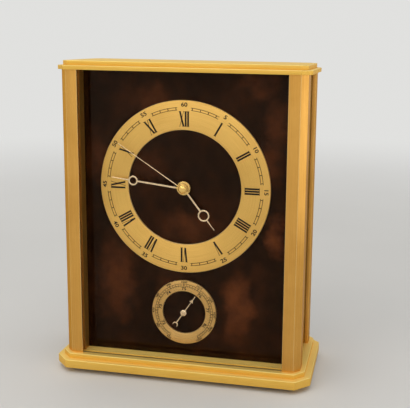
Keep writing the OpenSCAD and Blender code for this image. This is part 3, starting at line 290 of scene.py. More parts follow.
@dataclass(frozen=True)
class Finish:
    """What every finish has: a name and the record's slot that it belongs to."""

    name: str
    slot: str

    def lay(self, bench: Bench) -> None:
        """Lay out the nodes. Each kind of finish has its own."""
        raise NotImplementedError

    def material(self) -> bpy.types.Material:
        """Give the finish's material, made once.

        Returns:
            The material.
        """
        made = bpy.data.materials.get(self.name)
        if made is None:
            bench = Bench(self.name)
            self.lay(bench)
            made = bench.material
        return made


@dataclass(frozen=True)
class Metal(Finish):
    """A brushed, gilt or plain metal, with lengths in mm.

    The colour passes into shade_colour along the brushed lines and in slow clouds. On faces marked
    for it, a painted highlight: the colour passes into a paler one, standing in for light caught on
    bevels and ledge tops. edge_colour tints what is mirrored at a slant. stretch draws the gloss out
    across turned lines. Within hub_r of the centre the metal has hub_colour. A piece without marks
    shows no painted highlight.
    """

    colour: Colour
    shade_colour: Colour
    rub_colour: Colour = (1.0, 0.86, 0.58)
    edge_colour: Colour = (1.0, 1.0, 1.0)
    rough: float = 0.3
    grain: Grain = Grain.CAST
    grain_width: float = 0.3
    grain_depth: float = 0.004
    centre: Place = (0.0, 0.0, 0.0)
    metallic: float = 1.0
    stretch: float = 0.0
    rub: float = 0.6
    rub_gloss: float = 0.1
    hub_r: float = 0.0
    hub_colour: Colour = (0.76, 0.50, 0.16)
    cloud_size: float = 22.0

    def strands(self, bench: Bench) -> Socket:
        """Give the fine lines of the brushing.

        Args:
            bench: The material's nodes.

        Returns:
            A noise drawn out along the grain.
        """
        w = self.grain_width
        sizes = {
            Grain.ALONG_X: (STRAND_LENGTH * w, w, w),
            Grain.ALONG_Z: (w, w, STRAND_LENGTH * w),
            Grain.CAST: (CAST_SIZE * w, CAST_SIZE * w, CAST_SIZE * w),
        }
        if self.grain is not Grain.ROUND:
            return bench.noise(bench.place(self.centre, sizes[self.grain]), detail=3, rough=0.6)
        place = bench.place(self.centre, (1, ENDLESS, 1))
        parts = bench.node("ShaderNodeSeparateXYZ", {0: place}).outputs
        turn = bench.sum("ARCTAN2", parts[0], parts[2])
        lines = {
            0: bench.sum("DIVIDE", bench.length(place), w),
            1: bench.sum("MULTIPLY", turn, 1.5),
        }
        unrolled = bench.node("ShaderNodeCombineXYZ", lines).outputs[0]
        return bench.noise(unrolled, detail=3, rough=0.6)

    def lay(self, bench: Bench) -> None:
        """Lay out a metal: brushed lines, slow changes of tone, and a painted highlight, paler and
        smoother, on marked faces.
        """
        strands = self.strands(bench)
        clouds = bench.noise(bench.place(self.centre, (self.cloud_size,) * 3), detail=4, rough=0.55)
        rubbed = bench.rubbed()
        tone = bench.sum(
            "ADD", bench.span(strands, 0.3, 0.75, 0, 0.42), bench.span(clouds, 0.35, 0.8, 0, 0.4),
        )
        body = bench.blend(tone, self.colour, self.shade_colour)
        # Painted highlight: marked bevels and ledge tops pass into a paler colour.
        colour = bench.blend(bench.sum("MULTIPLY", rubbed, self.rub), body, self.rub_colour)
        if self.hub_r:
            radius = bench.length(bench.place(self.centre, (1, ENDLESS, 1)))
            hub = bench.span(radius, self.hub_r, self.hub_r + 0.3, 1, 0)
            colour = bench.blend(hub, colour, self.hub_colour)
        rough = bench.sum(
            "ADD", bench.span(strands, 0.25, 0.8, self.rough - 0.04, self.rough + 0.07),
            bench.span(clouds, 0.35, 0.8, 0, 0.06),
        )
        inputs = {
            "Base Color": colour,
            "Metallic": self.metallic,
            "Specular Tint": opaque(self.edge_colour),
            "Roughness": bench.sum("SUBTRACT", rough, bench.sum("MULTIPLY", rubbed, self.rub_gloss)),
            "Normal": bench.bump(strands, self.grain_depth),
        }
        if self.stretch:
            tangent = bench.node("ShaderNodeTangent", direction_type="RADIAL", axis="Y")
            inputs["Anisotropic"] = self.stretch
            inputs["Anisotropic Rotation"] = 0.25
            inputs["Tangent"] = tangent.outputs[0]
        bench.shade(inputs)


@dataclass(frozen=True)
class Blotch:
    """One warm patch in the lacquer: its place and half sizes on the panel in mm, and its weight."""

    x: float
    z: float
    half_x: float
    half_z: float
    weight: float


@dataclass(frozen=True)
class Lacquer(Finish):
    """A deep tortoiseshell lacquer: near black with soft red-brown patches under a clear coat.

    Without blotches of its own, the lacquer has the slow mottling alone. wander_size is the size
    in mm of the noise that pulls the blotches out of shape, and wander the length of its pull.
    """

    dark: Colour = (0.0060, 0.0022, 0.0009)
    warm: Colour = (0.095, 0.026, 0.008)
    brown: Colour = (0.022, 0.008, 0.003)
    sheen_colour: Colour = (1.0, 0.66, 0.42)
    blotches: tuple[Blotch, ...] = ()
    mottle: float = 1.0
    wander_size: float = 16.0
    wander: float = 26.0

    def patches(self, bench: Bench) -> Socket:
        """Give the warm patches, each a soft oval that a noise has pulled out of shape.

        Args:
            bench: The material's nodes.

        Returns:
            Their weight, 0 to about 1.
        """
        place = bench.node("ShaderNodeTexCoord").outputs["Object"]
        pull = bench.place(size=(self.wander_size,) * 3)
        inputs = {"Vector": pull, "Scale": 1, "Detail": 3, "Roughness": 0.6}
        moved = bench.node("ShaderNodeTexNoise", inputs).outputs[1]
        steps = {
            "SUBTRACT": {1: (0.5, 0.5, 0.5)},
            "SCALE": {"Scale": self.wander * MM},
            "ADD": {1: place},
        }
        for how, inputs in steps.items():
            moved = bench.node("ShaderNodeVectorMath", {0: moved, **inputs}, operation=how).outputs[0]
        patches = None
        for blotch in self.blotches:
            inputs = {
                "Vector": moved,
                "Location": (blotch.x * MM, 0, blotch.z * MM),
                "Scale": (blotch.half_x * MM, ENDLESS * MM, blotch.half_z * MM),
            }
            local = bench.node("ShaderNodeMapping", inputs, vector_type="TEXTURE").outputs[0]
            patch = bench.span(bench.length(local), 0.0, 1.8, blotch.weight, 0)
            patches = patch if patches is None else bench.sum("MAXIMUM", patches, patch)
        return patches

    def lay(self, bench: Bench) -> None:
        """Lay out the lacquer: patches, a slow mottling, small darker flecks and the clear coat."""
        slow = bench.noise(bench.place(centre=(7, 0, 11), size=(21, 21, 27)), detail=2, rough=0.45)
        fine = bench.noise(bench.place(centre=(3, 0, 5), size=(6.5, 6.5, 8)), detail=3, rough=0.6)
        mottled = bench.span(slow, 0.42, 0.78, 0, 0.62 * self.mottle)
        warmth = bench.sum("MAXIMUM", self.patches(bench), mottled) if self.blotches else mottled
        broken = bench.sum("MULTIPLY", warmth, bench.span(fine, 0.2, 0.7, 0.62, 1.0))
        ground = bench.blend(bench.span(fine, 0.35, 0.75, 0, 0.4), self.dark, self.brown)
        inputs = {
            "Base Color": bench.blend(broken, ground, self.warm),
            "Roughness": 0.07,
            "Specular IOR Level": 0.1,
            "Specular Tint": opaque(self.sheen_colour),
            "Coat Weight": 1.0,
            "Coat Roughness": 0.02,
            "Coat IOR": 1.1,
        }
        bench.shade(inputs)


@dataclass(frozen=True)
class Moulding(Finish):
    """A plastic, rubber, board or paint with a fine skin, whose size and depth are in mm."""

    colour: Colour
    tint: Colour
    rough: float = 0.5
    skin: float = 0.3
    skin_depth: float = 0.01
    coat: float = 0.0
    gloss: float = 0.5
    cloud_size: float = 9.0

    def lay(self, bench: Bench) -> None:
        """Lay out a moulded skin: a fine bump, slow changes of tone and of gloss."""
        skin = bench.noise(bench.place(size=(self.skin,) * 3), detail=2, rough=0.6)
        clouds = bench.noise(bench.place((4, 2, 1), (self.cloud_size,) * 3), detail=4, rough=0.6)
        uneven = bench.sum("ADD", skin, clouds)
        inputs = {
            "Base Color": bench.blend(bench.span(clouds, 0.3, 0.75), self.colour, self.tint),
            "Roughness": bench.span(uneven, 0.6, 1.4, self.rough - 0.07, self.rough + 0.07),
            "Normal": bench.bump(skin, self.skin_depth),
            "Specular IOR Level": self.gloss,
            "Coat Weight": self.coat,
            "Coat Roughness": 0.08,
        }
        bench.shade(inputs)


@dataclass(frozen=True)
class Winding(Finish):
    """Enamelled wire wound along an upright coil, its turns drawn by a wave of wave_size mm."""

    colour: Colour = (0.62, 0.22, 0.07)
    dull: float = 0.7
    gap_colour: Colour = (0.05, 0.015, 0.005)
    wave_size: float = 1.3823
    turn_depth: float = 0.05

    def lay(self, bench: Bench) -> None:
        """Lay out the turns: a wave along the coil that shapes them, with painted shade in the gaps."""
        place = bench.place(size=(400, 400, self.wave_size))
        wave = {"Vector": place, "Scale": 1.0, "Distortion": 0.3, "Detail": 1}
        turns = bench.node("ShaderNodeTexWave", wave, bands_direction="Z").outputs["Fac"]
        clouds = bench.noise(bench.place(size=(3, 3, 3)), detail=3)
        dull_colour = [c * self.dull for c in self.colour]
        body = bench.blend(bench.span(clouds, 0.3, 0.7), self.colour, dull_colour)
        inputs = {
            # Painted shade: the gaps between the turns pass into a near-black colour.
            "Base Color": bench.blend(bench.span(turns, 0.35, 0.0, 0, 0.8), body, self.gap_colour),
            "Metallic": 0.85,
            "Roughness": 0.32,
            "Coat Weight": 0.6,
            "Normal": bench.bump(turns, self.turn_depth),
        }
        bench.shade(inputs)


@dataclass(frozen=True)
class ClearGlass(Finish):
    """A thin clear pane that lets lamp light through, glossy at a slant, with a faint handling haze.

    A pane this thin bends nothing, so its body has no refraction. Its gloss is a coat of its own.
    """

    haze_colour: Colour = (0.94, 0.95, 0.94)
    haze_size: float = 38.0

    def lay(self, bench: Bench) -> None:
        """Lay out the glass: a clear body for what is seen, and none for the light of the lamps."""
        haze = bench.noise(bench.place(size=(self.haze_size,) * 3), detail=4, rough=0.6)
        slant = bench.node("ShaderNodeLayerWeight", {"Blend": 0.5}).outputs["Facing"]
        inputs = {
            "Base Color": bench.blend(bench.span(haze, 0.4, 0.8), (1.0, 1.0, 1.0), self.haze_colour),
            "Roughness": 0.0,
            "IOR": 1.0,
            "Transmission Weight": 1.0,
            "Coat Weight": bench.span(slant, 0.28, 0.75),
            "Coat Roughness": 0.0,
            "Coat IOR": 1.5,
        }
        body = bench.node("ShaderNodeBsdfPrincipled", inputs).outputs[0]
        clear = bench.node("ShaderNodeBsdfTransparent").outputs[0]
        lamp = bench.node("ShaderNodeLightPath").outputs["Is Shadow Ray"]
        mixed = bench.node("ShaderNodeMixShader", {0: lamp, 1: body, 2: clear}).outputs[0]
        bench.node("ShaderNodeOutputMaterial", {"Surface": mixed})


GILT_EDGE = (0.80, 0.55, 0.26)

# The metals below carry a paler colour for the painted highlight on marked bevels and ledge tops.
LEDGE_GILT = Metal(
    "satin_gilt_plates", "gilt_brass",
    colour=(0.94, 0.59, 0.115), shade_colour=(0.87, 0.50, 0.08), rub_colour=(1.0, 0.80, 0.28),
    edge_colour=GILT_EDGE, rough=0.50, grain=Grain.ALONG_X, grain_width=0.45, grain_depth=0.006,
    metallic=0.42, rub=0.85,
)
POST_GILT = Metal(
    "brushed_gilt_posts", "brushed_brass",
    colour=(0.77, 0.41, 0.095), shade_colour=(0.58, 0.28, 0.05), rub_colour=(0.95, 0.66, 0.28),
    edge_colour=GILT_EDGE, rough=0.30, grain=Grain.ALONG_Z, grain_width=0.4, grain_depth=0.005,
    metallic=0.85,
)
KNOB_GILT = Metal(
    "turned_gilt_knob", "polished_brass",
    colour=(0.95, 0.62, 0.17), shade_colour=(0.82, 0.46, 0.09), edge_colour=GILT_EDGE,
    rough=0.16, grain=Grain.ROUND, grain_width=0.25, centre=(51.2, 0, 94.15),
)
CAP_GILT = Metal(
    "turned_gilt_cap", "polished_brass",
    colour=(0.88, 0.58, 0.18), shade_colour=(0.76, 0.46, 0.11), edge_colour=GILT_EDGE,
    rough=0.14, grain=Grain.ROUND, grain_width=0.2, centre=(0, 0, DIAL_Z), metallic=0.9,
)
CHAPTER_BRASS = Metal(
    "chapter_ring_brass", "dial_brass",
    colour=(0.76, 0.465, 0.125), shade_colour=(0.60, 0.34, 0.08), edge_colour=GILT_EDGE, rough=0.40,
    grain=Grain.ROUND, grain_width=0.35, centre=(0, 0, DIAL_Z), metallic=0.92, stretch=0.6,
)
BARO_BRASS = Metal(
    "barometer_ring_brass", "dial_brass",
    colour=(0.72, 0.44, 0.15), shade_colour=(0.50, 0.28, 0.08), edge_colour=GILT_EDGE, rough=0.28,
    grain=Grain.ROUND, grain_width=0.25, centre=(0, 0, BARO_Z), metallic=0.96, stretch=0.75,
)
HAND_GILT = Metal(
    "pale_gilt_hands", "hand_brass",
    colour=(0.76, 0.56, 0.33), shade_colour=(0.60, 0.42, 0.23), rub_colour=(0.96, 0.78, 0.54),
    rough=0.22, grain_depth=0.002, centre=(0, 0, DIAL_Z), metallic=0.85, hub_r=4.0,
)
WORKS_BRASS = Metal(
    "plain_works_brass", "works_brass",
    colour=(0.76, 0.56, 0.25), shade_colour=(0.58, 0.38, 0.14), edge_colour=GILT_EDGE, rough=0.34,
)
NICKEL = Metal(
    "nickel_plate", "nickel",
    colour=(0.70, 0.68, 0.61), shade_colour=(0.52, 0.50, 0.44), rub_colour=(0.9, 0.88, 0.82),
    rough=0.28, grain=Grain.ROUND, centre=(0, 0, BARO_Z),
)
STEEL = Metal(
    "plain_steel", "steel",
    colour=(0.52, 0.53, 0.55), shade_colour=(0.36, 0.37, 0.39), rub_colour=(0.8, 0.8, 0.82), rough=0.32,
)
PANEL_LACQUER = Lacquer(
    "tortoiseshell_panel", "tortoiseshell_lacquer", mottle=0.3,
    blotches=(
        Blotch(51.3, 150.1, 6.5, 13.0, 0.5),
        Blotch(47.9, 127.2, 8.5, 9.0, 0.5),
        Blotch(53.9, 84.6, 5.0, 9.5, 1.0),
        Blotch(30.9, 44.3, 7.5, 17.5, 0.95),
        Blotch(-41.4, 53.7, 9.0, 20.5, 0.62),
        Blotch(-51.8, 128.4, 6.0, 11.0, 0.4),
        Blotch(-17.3, 162.3, 12.0, 8.0, 0.45),
        Blotch(41.4, 171.2, 11.0, 5.4, 0.45),
        Blotch(4.0, 89.0, 19.0, 8.5, 0.5),
        Blotch(-9.9, 53.1, 6.5, 6.5, 0.35),
        Blotch(-20.0, 124.0, 9.0, 8.0, 0.35),
    ),
)
CASE_LACQUER = Lacquer("tortoiseshell_case", "tortoiseshell_lacquer")
ENAMEL = Moulding(
    "printed_black_enamel", "black_enamel",
    colour=(0.009, 0.006, 0.004), tint=(0.015, 0.010, 0.007),
    rough=0.34, skin=0.12, skin_depth=0.002, gloss=0.12,
)
GLASS = ClearGlass("clear_front_glass", "front_glass")
RUBBER = Moulding(
    "moulded_rubber", "rubber",
    colour=(0.018, 0.018, 0.018), tint=(0.03, 0.03, 0.03), rough=0.72, skin=0.4, skin_depth=0.03,
)
STRIP = Moulding(
    "buff_glass_strip", "rubber",
    colour=(0.46, 0.27, 0.09), tint=(0.36, 0.20, 0.06), rough=0.66, skin=0.4, skin_depth=0.02,
)
PAD = Moulding(
    "pressed_black_pad", "black_pad",
    colour=(0.012, 0.012, 0.012), tint=(0.022, 0.022, 0.022), rough=0.88, skin=0.5, skin_depth=0.12,
)
BLACK_PLASTIC = Moulding(
    "moulded_black_plastic", "black_plastic",
    colour=(0.022, 0.022, 0.024), tint=(0.034, 0.034, 0.036), rough=0.46, skin_depth=0.015,
)
WHITE_PLASTIC = Moulding(
    "moulded_white_plastic", "white_plastic",
    colour=(0.74, 0.73, 0.67), tint=(0.66, 0.65, 0.58), rough=0.42,
)
GREY_PLASTIC = Moulding(
    "moulded_grey_plastic", "grey_plastic",
    colour=(0.46, 0.46, 0.46), tint=(0.38, 0.38, 0.38), rough=0.42,
)
BOARD = Moulding(
    "board_solder_mask", "circuit_board",
    colour=(0.008, 0.085, 0.022), tint=(0.006, 0.055, 0.016),
    rough=0.3, skin=0.5, skin_depth=0.02, coat=0.4,
)
SLEEVE = Moulding(
    "plain_battery_sleeve", "battery_wrap",
    colour=(0.46, 0.22, 0.03), tint=(0.36, 0.16, 0.02), rough=0.24, skin=1.0, coat=0.8,
)
WIRE = Winding("enamelled_wire", "copper_wire")

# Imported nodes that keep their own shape, with their finishes.
NODE_FINISHES: dict[str, Finish] = {
    "underside_pad": PAD,
    "base_screws": STEEL,
    "cornice_screws": STEEL,
    "front_glass": GLASS,
    "glass_strip": STRIP,
    "side_panel_left": CASE_LACQUER,
    "side_panel_right": CASE_LACQUER,
    "dial_panel": PANEL_LACQUER,
    "hour_numerals": ENAMEL,
    "hinge_pins": STEEL,
    "door_keeper": STEEL,
    "door_magnet": BLACK_PLASTIC,
    "movement_front_shell": BLACK_PLASTIC,
    "movement_rear_shell": BLACK_PLASTIC,
    "panel_screws": STEEL,
    "mid_plate": WHITE_PLASTIC,
    "train_plate": WHITE_PLASTIC,
    "circuit_board": BOARD,
    "clock_chip": BLACK_PLASTIC,
    "quartz_crystal": NICKEL,
    "drive_coil": WIRE,
    "stator": STEEL,
    "battery": SLEEVE,
    "battery_contacts": NICKEL,
    "rotor": WHITE_PLASTIC,
    "intermediate_wheel": WHITE_PLASTIC,
    "second_wheel": WHITE_PLASTIC,
    "third_wheel": WHITE_PLASTIC,
    "centre_wheel": WHITE_PLASTIC,
    "cannon_pinion": WORKS_BRASS,
    "motion_wheel": WHITE_PLASTIC,
    "hour_wheel": GREY_PLASTIC,
    "setting_knob": BLACK_PLASTIC,
    "barometer_can": NICKEL,
    "barometer_plate": WORKS_BRASS,
    "aneroid_capsule": NICKEL,
    "capsule_spring": STEEL,
    "pointer_arbor": STEEL,
    "sector_lever": WORKS_BRASS,
    "adjusting_screw": WORKS_BRASS,
}


# ------------------------------------------------------------------------------------ the workbench
def deselect() -> None:
    """Leave nothing selected and no object in edit mode."""
    if bpy.context.object is not None and bpy.context.object.mode != "OBJECT":
        bpy.ops.object.mode_set(mode="OBJECT")
    bpy.ops.object.select_all(action="DESELECT")


def pick(*objects: bpy.types.Object) -> None:
    """Select only these objects, the first as the active one."""
    deselect()
    for item in objects:
        item.select_set(True)
    bpy.context.view_layer.objects.active = objects[0]


def apply_place() -> None:
    """Put the place, turn and scale of what is selected into its mesh."""
    bpy.ops.object.transform_apply(location=True, rotation=True, scale=True)


class Workpiece:
    """One piece on the bench, in millimetres, until it is set down in metres."""

    def __init__(self, name: str) -> None:
        """Take over the object that has just been added.

        Args:
            name: Name of the piece.
        """
        self.item = bpy.context.object
        self.item.name = name
        self.item.data.name = name

    @classmethod
    def block(cls, name: str, low: Sequence[float], high: Sequence[float]) -> "Workpiece":
        """Start from a cube brought to its size and place.

        Args:
            name: Name of the piece.
            low: Its lowest corner.
            high: Its highest corner.

        Returns:
            The piece.
        """
        deselect()
        centre = [(a + b) / 2 for a, b in zip(low, high)]
        bpy.ops.mesh.primitive_cube_add(size=1, location=centre)
        bpy.context.object.scale = [b - a for a, b in zip(low, high)]
        apply_place()
        return cls(name)

    @classmethod
    def turned(
        cls, name: str, profile: Sequence[Step], sides: int = SMALL_SIDES, ring: bool = False
    ) -> "Workpiece":
        """Turn a piece round the local z axis: a circle that is drawn up and widened step by step.

        Args:
            name: Name of the piece.
            profile: Radius and height of each step. A radius of 0 closes the piece in a pole.
            sides: Number of sides.
            ring: True if the last step is joined to the first, so that the middle stays open.

        Returns:
            The piece.
        """
        deselect()
        radius, height = profile[0]
        fill = "NOTHING" if ring else "NGON"
        bpy.ops.mesh.primitive_circle_add(
            vertices=sides, radius=radius, fill_type=fill, location=(0, 0, height)
        )
        apply_place()
        piece = cls(name)
        bpy.ops.object.mode_set(mode="EDIT")
        bpy.ops.mesh.select_all(action="SELECT")
        for (r0, h0), (r1, h1) in zip(profile, profile[1:]):
            bpy.ops.mesh.extrude_region_move(TRANSFORM_OT_translate={"value": (0, 0, h1 - h0)})
            if r1 == 0:
                bpy.ops.mesh.merge(type="CENTER")
            elif r1 != r0:
                k = r1 / r0
                bpy.ops.transform.resize(value=(k, k, 1), center_override=(0, 0, h1))
        if ring:
            mesh = bmesh.from_edit_mesh(piece.item.data)
            loops = (profile[0], profile[-1])
            for edge in mesh.edges:
                ends = [(v.co.xy.length, v.co.z) for v in edge.verts]
                edge.select = any(all(math.dist(end, loop) < NEAR for end in ends) for loop in loops)
            bmesh.update_edit_mesh(piece.item.data)
            bpy.ops.mesh.bridge_edge_loops()
        bpy.ops.mesh.select_all(action="SELECT")
        bpy.ops.mesh.remove_doubles(threshold=MERGED)
        bpy.ops.mesh.normals_make_consistent(inside=False)
        bpy.ops.object.mode_set(mode="OBJECT")
        return piece

    @classmethod
    def lettering(cls, name: str, words: str, height: float, depth: float) -> "Workpiece":
        """Make a number of the built-in plain type, standing on the local plane.

        Args:
            name: Name of the piece.
            words: The digits.
            height: Height of a digit.
            depth: Thickness of the print.

        Returns:
            The piece.
        """
        deselect()
        bpy.ops.object.text_add(location=(0, 0, 0))
        text = bpy.context.object.data
        text.body = words
        text.align_x = "CENTER"
        text.align_y = "CENTER"
        text.size = height / DIGIT_SHARE
        text.offset = STROKE_GAIN * height
        text.extrude = depth / 2
        text.resolution_u = 3
        bpy.ops.object.convert(target="MESH")
        return cls(name).stretch((DIGIT_STRETCH, 1, 1)).move((0, 0, depth / 2))

    def choose_edges(self, test: EdgeTest) -> None:
        """Go to edit mode and select edges by their place.

        Args:
            test: Told an edge's middle and its direction, says whether the edge is chosen.
        """
        pick(self.item)
        bpy.ops.object.mode_set(mode="EDIT")
        bpy.ops.mesh.select_mode(type="EDGE")
        bpy.ops.mesh.select_all(action="DESELECT")
        mesh = bmesh.from_edit_mesh(self.item.data)
        for edge in mesh.edges:
            first, second = (v.co for v in edge.verts)
            if test((first + second) / 2, (second - first).normalized()):
                edge.select_set(True)
        bmesh.update_edit_mesh(self.item.data)

    def bevel(self, width: float, segments: int, test: EdgeTest) -> "Workpiece":
        """Bevel the chosen edges.

        Args:
            width: Width of the bevel along each face.
            segments: Number of its facets.
            test: Says which edges, as in choose_edges.

        Returns:
            The piece.
        """
        self.choose_edges(test)
        bpy.ops.mesh.bevel(
            offset=width, segments=segments, profile=0.5, affect="EDGES", clamp_overlap=True
        )
        bpy.ops.object.mode_set(mode="OBJECT")
        return self

    def narrow_end(self, end: float, share: float) -> "Workpiece":
        """Draw in the end of a flat bar.

        Args:
            end: Place of the end along the bar.
            share: New width of the end as a share of the old one.

        Returns:
            The piece.
        """
        self.choose_edges(lambda mid, way: abs(mid.y - end) < NEAR and abs(way.y) < 0.5)
        bpy.ops.transform.resize(value=(share, 1, 1), center_override=(0, end, 0))
        bpy.ops.object.mode_set(mode="OBJECT")
        return self

    def soften(self, width: float, segments: int) -> "Workpiece":
        """Break all sharp edges.

        Args:
            width: Width of the bevel.
            segments: Number of its facets.

        Returns:
            The piece.
        """
        pick(self.item)
        modifier = self.item.modifiers.new("soft_edges", "BEVEL")
        modifier.width = width
        modifier.segments = segments
        modifier.limit_method = "ANGLE"
        modifier.angle_limit = math.radians(SHARP_ANGLE)
        modifier.use_clamp_overlap = True
        bpy.ops.object.modifier_apply(modifier=modifier.name)
        return self

    def combine(self, other: "Workpiece", how: str) -> "Workpiece":
        """Cut another piece away or fuse it on, which uses the other one up.

        Args:
            other: The cutter or the addition.
            how: DIFFERENCE or UNION.

        Returns:
            The piece.
        """
        pick(self.item)
        modifier = self.item.modifiers.new("combine", "BOOLEAN")
        modifier.operation = how
        modifier.solver = "EXACT"
        modifier.object = other.item
        bpy.ops.object.modifier_apply(modifier=modifier.name)
        bpy.data.objects.remove(other.item)
        return self

    def cut(self, *cutters: "Workpiece") -> "Workpiece":
        """Cut other pieces away, one after the other."""
        for cutter in cutters:
            self.combine(cutter, "DIFFERENCE")
        return self

    def fuse(self, *others: "Workpiece") -> "Workpiece":
        """Fuse other pieces on, one after the other."""
        for other in others:
            self.combine(other, "UNION")
        return self

    def join(self, *others: "Workpiece") -> "Workpiece":
        """Put separate pieces into this one's mesh."""
        if others:
            pick(self.item, *(other.item for other in others))
            bpy.ops.object.join()
        return self

    def copy(self, name: str) -> "Workpiece":
        """Give a copy of the piece with its own mesh.

        Args:
            name: Name of the copy.

        Returns:
            The copy.
        """
        pick(self.item)
        bpy.ops.object.duplicate(linked=False)
        return Workpiece(name)

    def move(self, by: Sequence[float]) -> "Workpiece":
        """Move the piece and apply the move."""
        pick(self.item)
        self.item.location = by
        apply_place()
        return self

    def turn(self, degrees: float, axis: str) -> "Workpiece":
        """Turn the piece about an axis through the origin, counter-clockwise, and apply the turn."""
        pick(self.item)
        self.item.rotation_euler = Matrix.Rotation(math.radians(degrees), 4, axis).to_euler()
        apply_place()
        return self

    def stretch(self, by: Sequence[float]) -> "Workpiece":
        """Stretch the piece from the origin along each axis and apply the stretch."""
        pick(self.item)
        self.item.scale = by
        apply_place()
        return self

    def flip(self, axis: str) -> "Workpiece":
        """Mirror the piece across the plane of this axis, with its faces still outwards."""
        self.stretch([-1 if name == axis else 1 for name in "XYZ"])
        bpy.ops.object.mode_set(mode="EDIT")
        bpy.ops.mesh.select_all(action="SELECT")
        bpy.ops.mesh.normals_make_consistent(inside=False)
        bpy.ops.object.mode_set(mode="OBJECT")
        return self

    def face_front(self, plane_y: float, x: float, z: float, clockwise: float = 0.0) -> "Workpiece":
        """Stand a piece drawn flat on the local plane up on the dial, seen from the front.

        Args:
            plane_y: Depth at which its local z starts, to grow towards the front.
            x: Place of its local origin across.
            z: Place of its local origin upwards.
            clockwise: Angle by which it is turned on the dial, in degrees.

        Returns:
            The piece.
        """
        return self.turn(-clockwise, "Z").turn(90, "X").move((x, plane_y, z))

    def mark_rubbed(self, mark: FaceMark) -> "Workpiece":
        """Write the weight of each face's painted highlight, for the finish to read.

        Args:
            mark: Told a face's centre and normal, gives 0 to 1.

        Returns:
            The piece.
        """
        mesh = self.item.data
        layer = mesh.attributes.new(ATTRIBUTE_PAINTED_HIGHLIGHT, "FLOAT", "FACE")
        for face in mesh.polygons:
            layer.data[face.index].value = mark(face.center, face.normal)
        return self

    def set_down(
        self, finish: Finish, body: str, node: str | None = None, angle: float = SHARP_ANGLE
    ) -> None:
        """Bring the piece to metres, dress it and hand it to the frame.

        Args:
            finish: Its finish.
            body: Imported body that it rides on.
            node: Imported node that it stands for, or None.
            angle: Edges flatter than this many degrees are shaded smooth.
        """
        self.stretch((MM, MM, MM))
        bpy.ops.object.shade_smooth_by_angle(angle=math.radians(angle))
        self.item.data.materials.clear()
        self.item.data.materials.append(finish.material())
        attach(self.item, body)
        if node is not None:
            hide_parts(node)
        LOG.info("%s: %d faces, rides on %s", self.item.name, len(self.item.data.polygons), body)


def four_corners(x: float, y: float) -> list[tuple[float, float]]:
    """Give the four places that lie so far to each side and so far to front and back."""
    return [(side * x, end * y) for side in (-1, 1) for end in (-1, 1)]


def ring_profile(
    outer: float, inner: float, thickness: float, bevel: float, points: Profile
) -> list[Step]:
    """Give the profile of a flat ring whose two upper edges are bevelled.

    Args:
        outer: Its outer radius.
        inner: Its inner radius.
        thickness: Its thickness.
        bevel: Width of the bevel.
        points: Points of the bevel, as shares of its width.

    Returns:
        Radius and height of each step.
    """
    outside = [(outer - inwards * bevel, thickness - down * bevel) for inwards, down in points]
    inside = [(inner + inwards * bevel, thickness - down * bevel) for inwards, down in reversed(points)]
    return [(outer, 0), *outside, *inside, (inner, 0)]


def upright(at: Sequence[tuple[float, float]]) -> EdgeTest:
    """Give a test for upright edges at these places seen from above."""
    def test(mid: Vector, way: Vector) -> bool:
        """Say whether an edge is one of them."""
        return abs(way.z) > ALONG and any(math.dist(mid.xy, place) < CLOSE for place in at)

    return test


def level(height: float) -> EdgeTest:
    """Give a test for level edges at this height."""
    return lambda mid, way: abs(way.z) < ACROSS and abs(mid.z - height) < CLOSE


def worn_plate(centre: Vector, normal: Vector) -> float:
    """Say how much painted highlight a plate's face gets: wholly on the bevels, partly on the ledge
    tops.
    """
    if normal.z > FLAT:
        return 0.5
    return 1.0 if normal.z > SLOPING else 0.0


def worn_ring(centre: Vector, normal: Vector) -> float:
    """Say that the bevels of a ring that still lies flat get a painted highlight."""
    return 1.0 if SLOPING < normal.z < FLAT else 0.0


def worn_hand(centre: Vector, normal: Vector) -> float:
    """Say that the bevels round the front of a hand get a painted highlight."""
    return 1.0 if -0.95 < normal.y < -0.2 else 0.0


@dataclass(frozen=True)
class Plate:
    """One of the case's chamfered plates."""

    node: str
    width: float
    depth: float
    thickness: float
    chamfer: float
    bottom: float
    upper_edge: float = 0.3
    lower_edge: float = 0.15
    corner_edge: float = 0.12

    @property
    def top(self) -> float:
        """Height of the upper face."""
        return self.bottom + self.thickness

    def blank(self) -> Workpiece:
        """Model the plate: chamfered corners, a rounded upper edge and a broken lower one.

        Returns:
            The plate.
        """
        x, y = self.width / 2, self.depth / 2
        piece = Workpiece.block(self.node + "_piece", (-x, -y, self.bottom), (x, y, self.top))
        piece.bevel(self.chamfer, 1, upright(four_corners(x, y)))
        piece.bevel(self.upper_edge, 3, level(self.top))
        piece.bevel(self.lower_edge, 2, level(self.bottom))
        return piece.bevel(self.corner_edge, 2, lambda mid, way: abs(way.z) > ALONG)


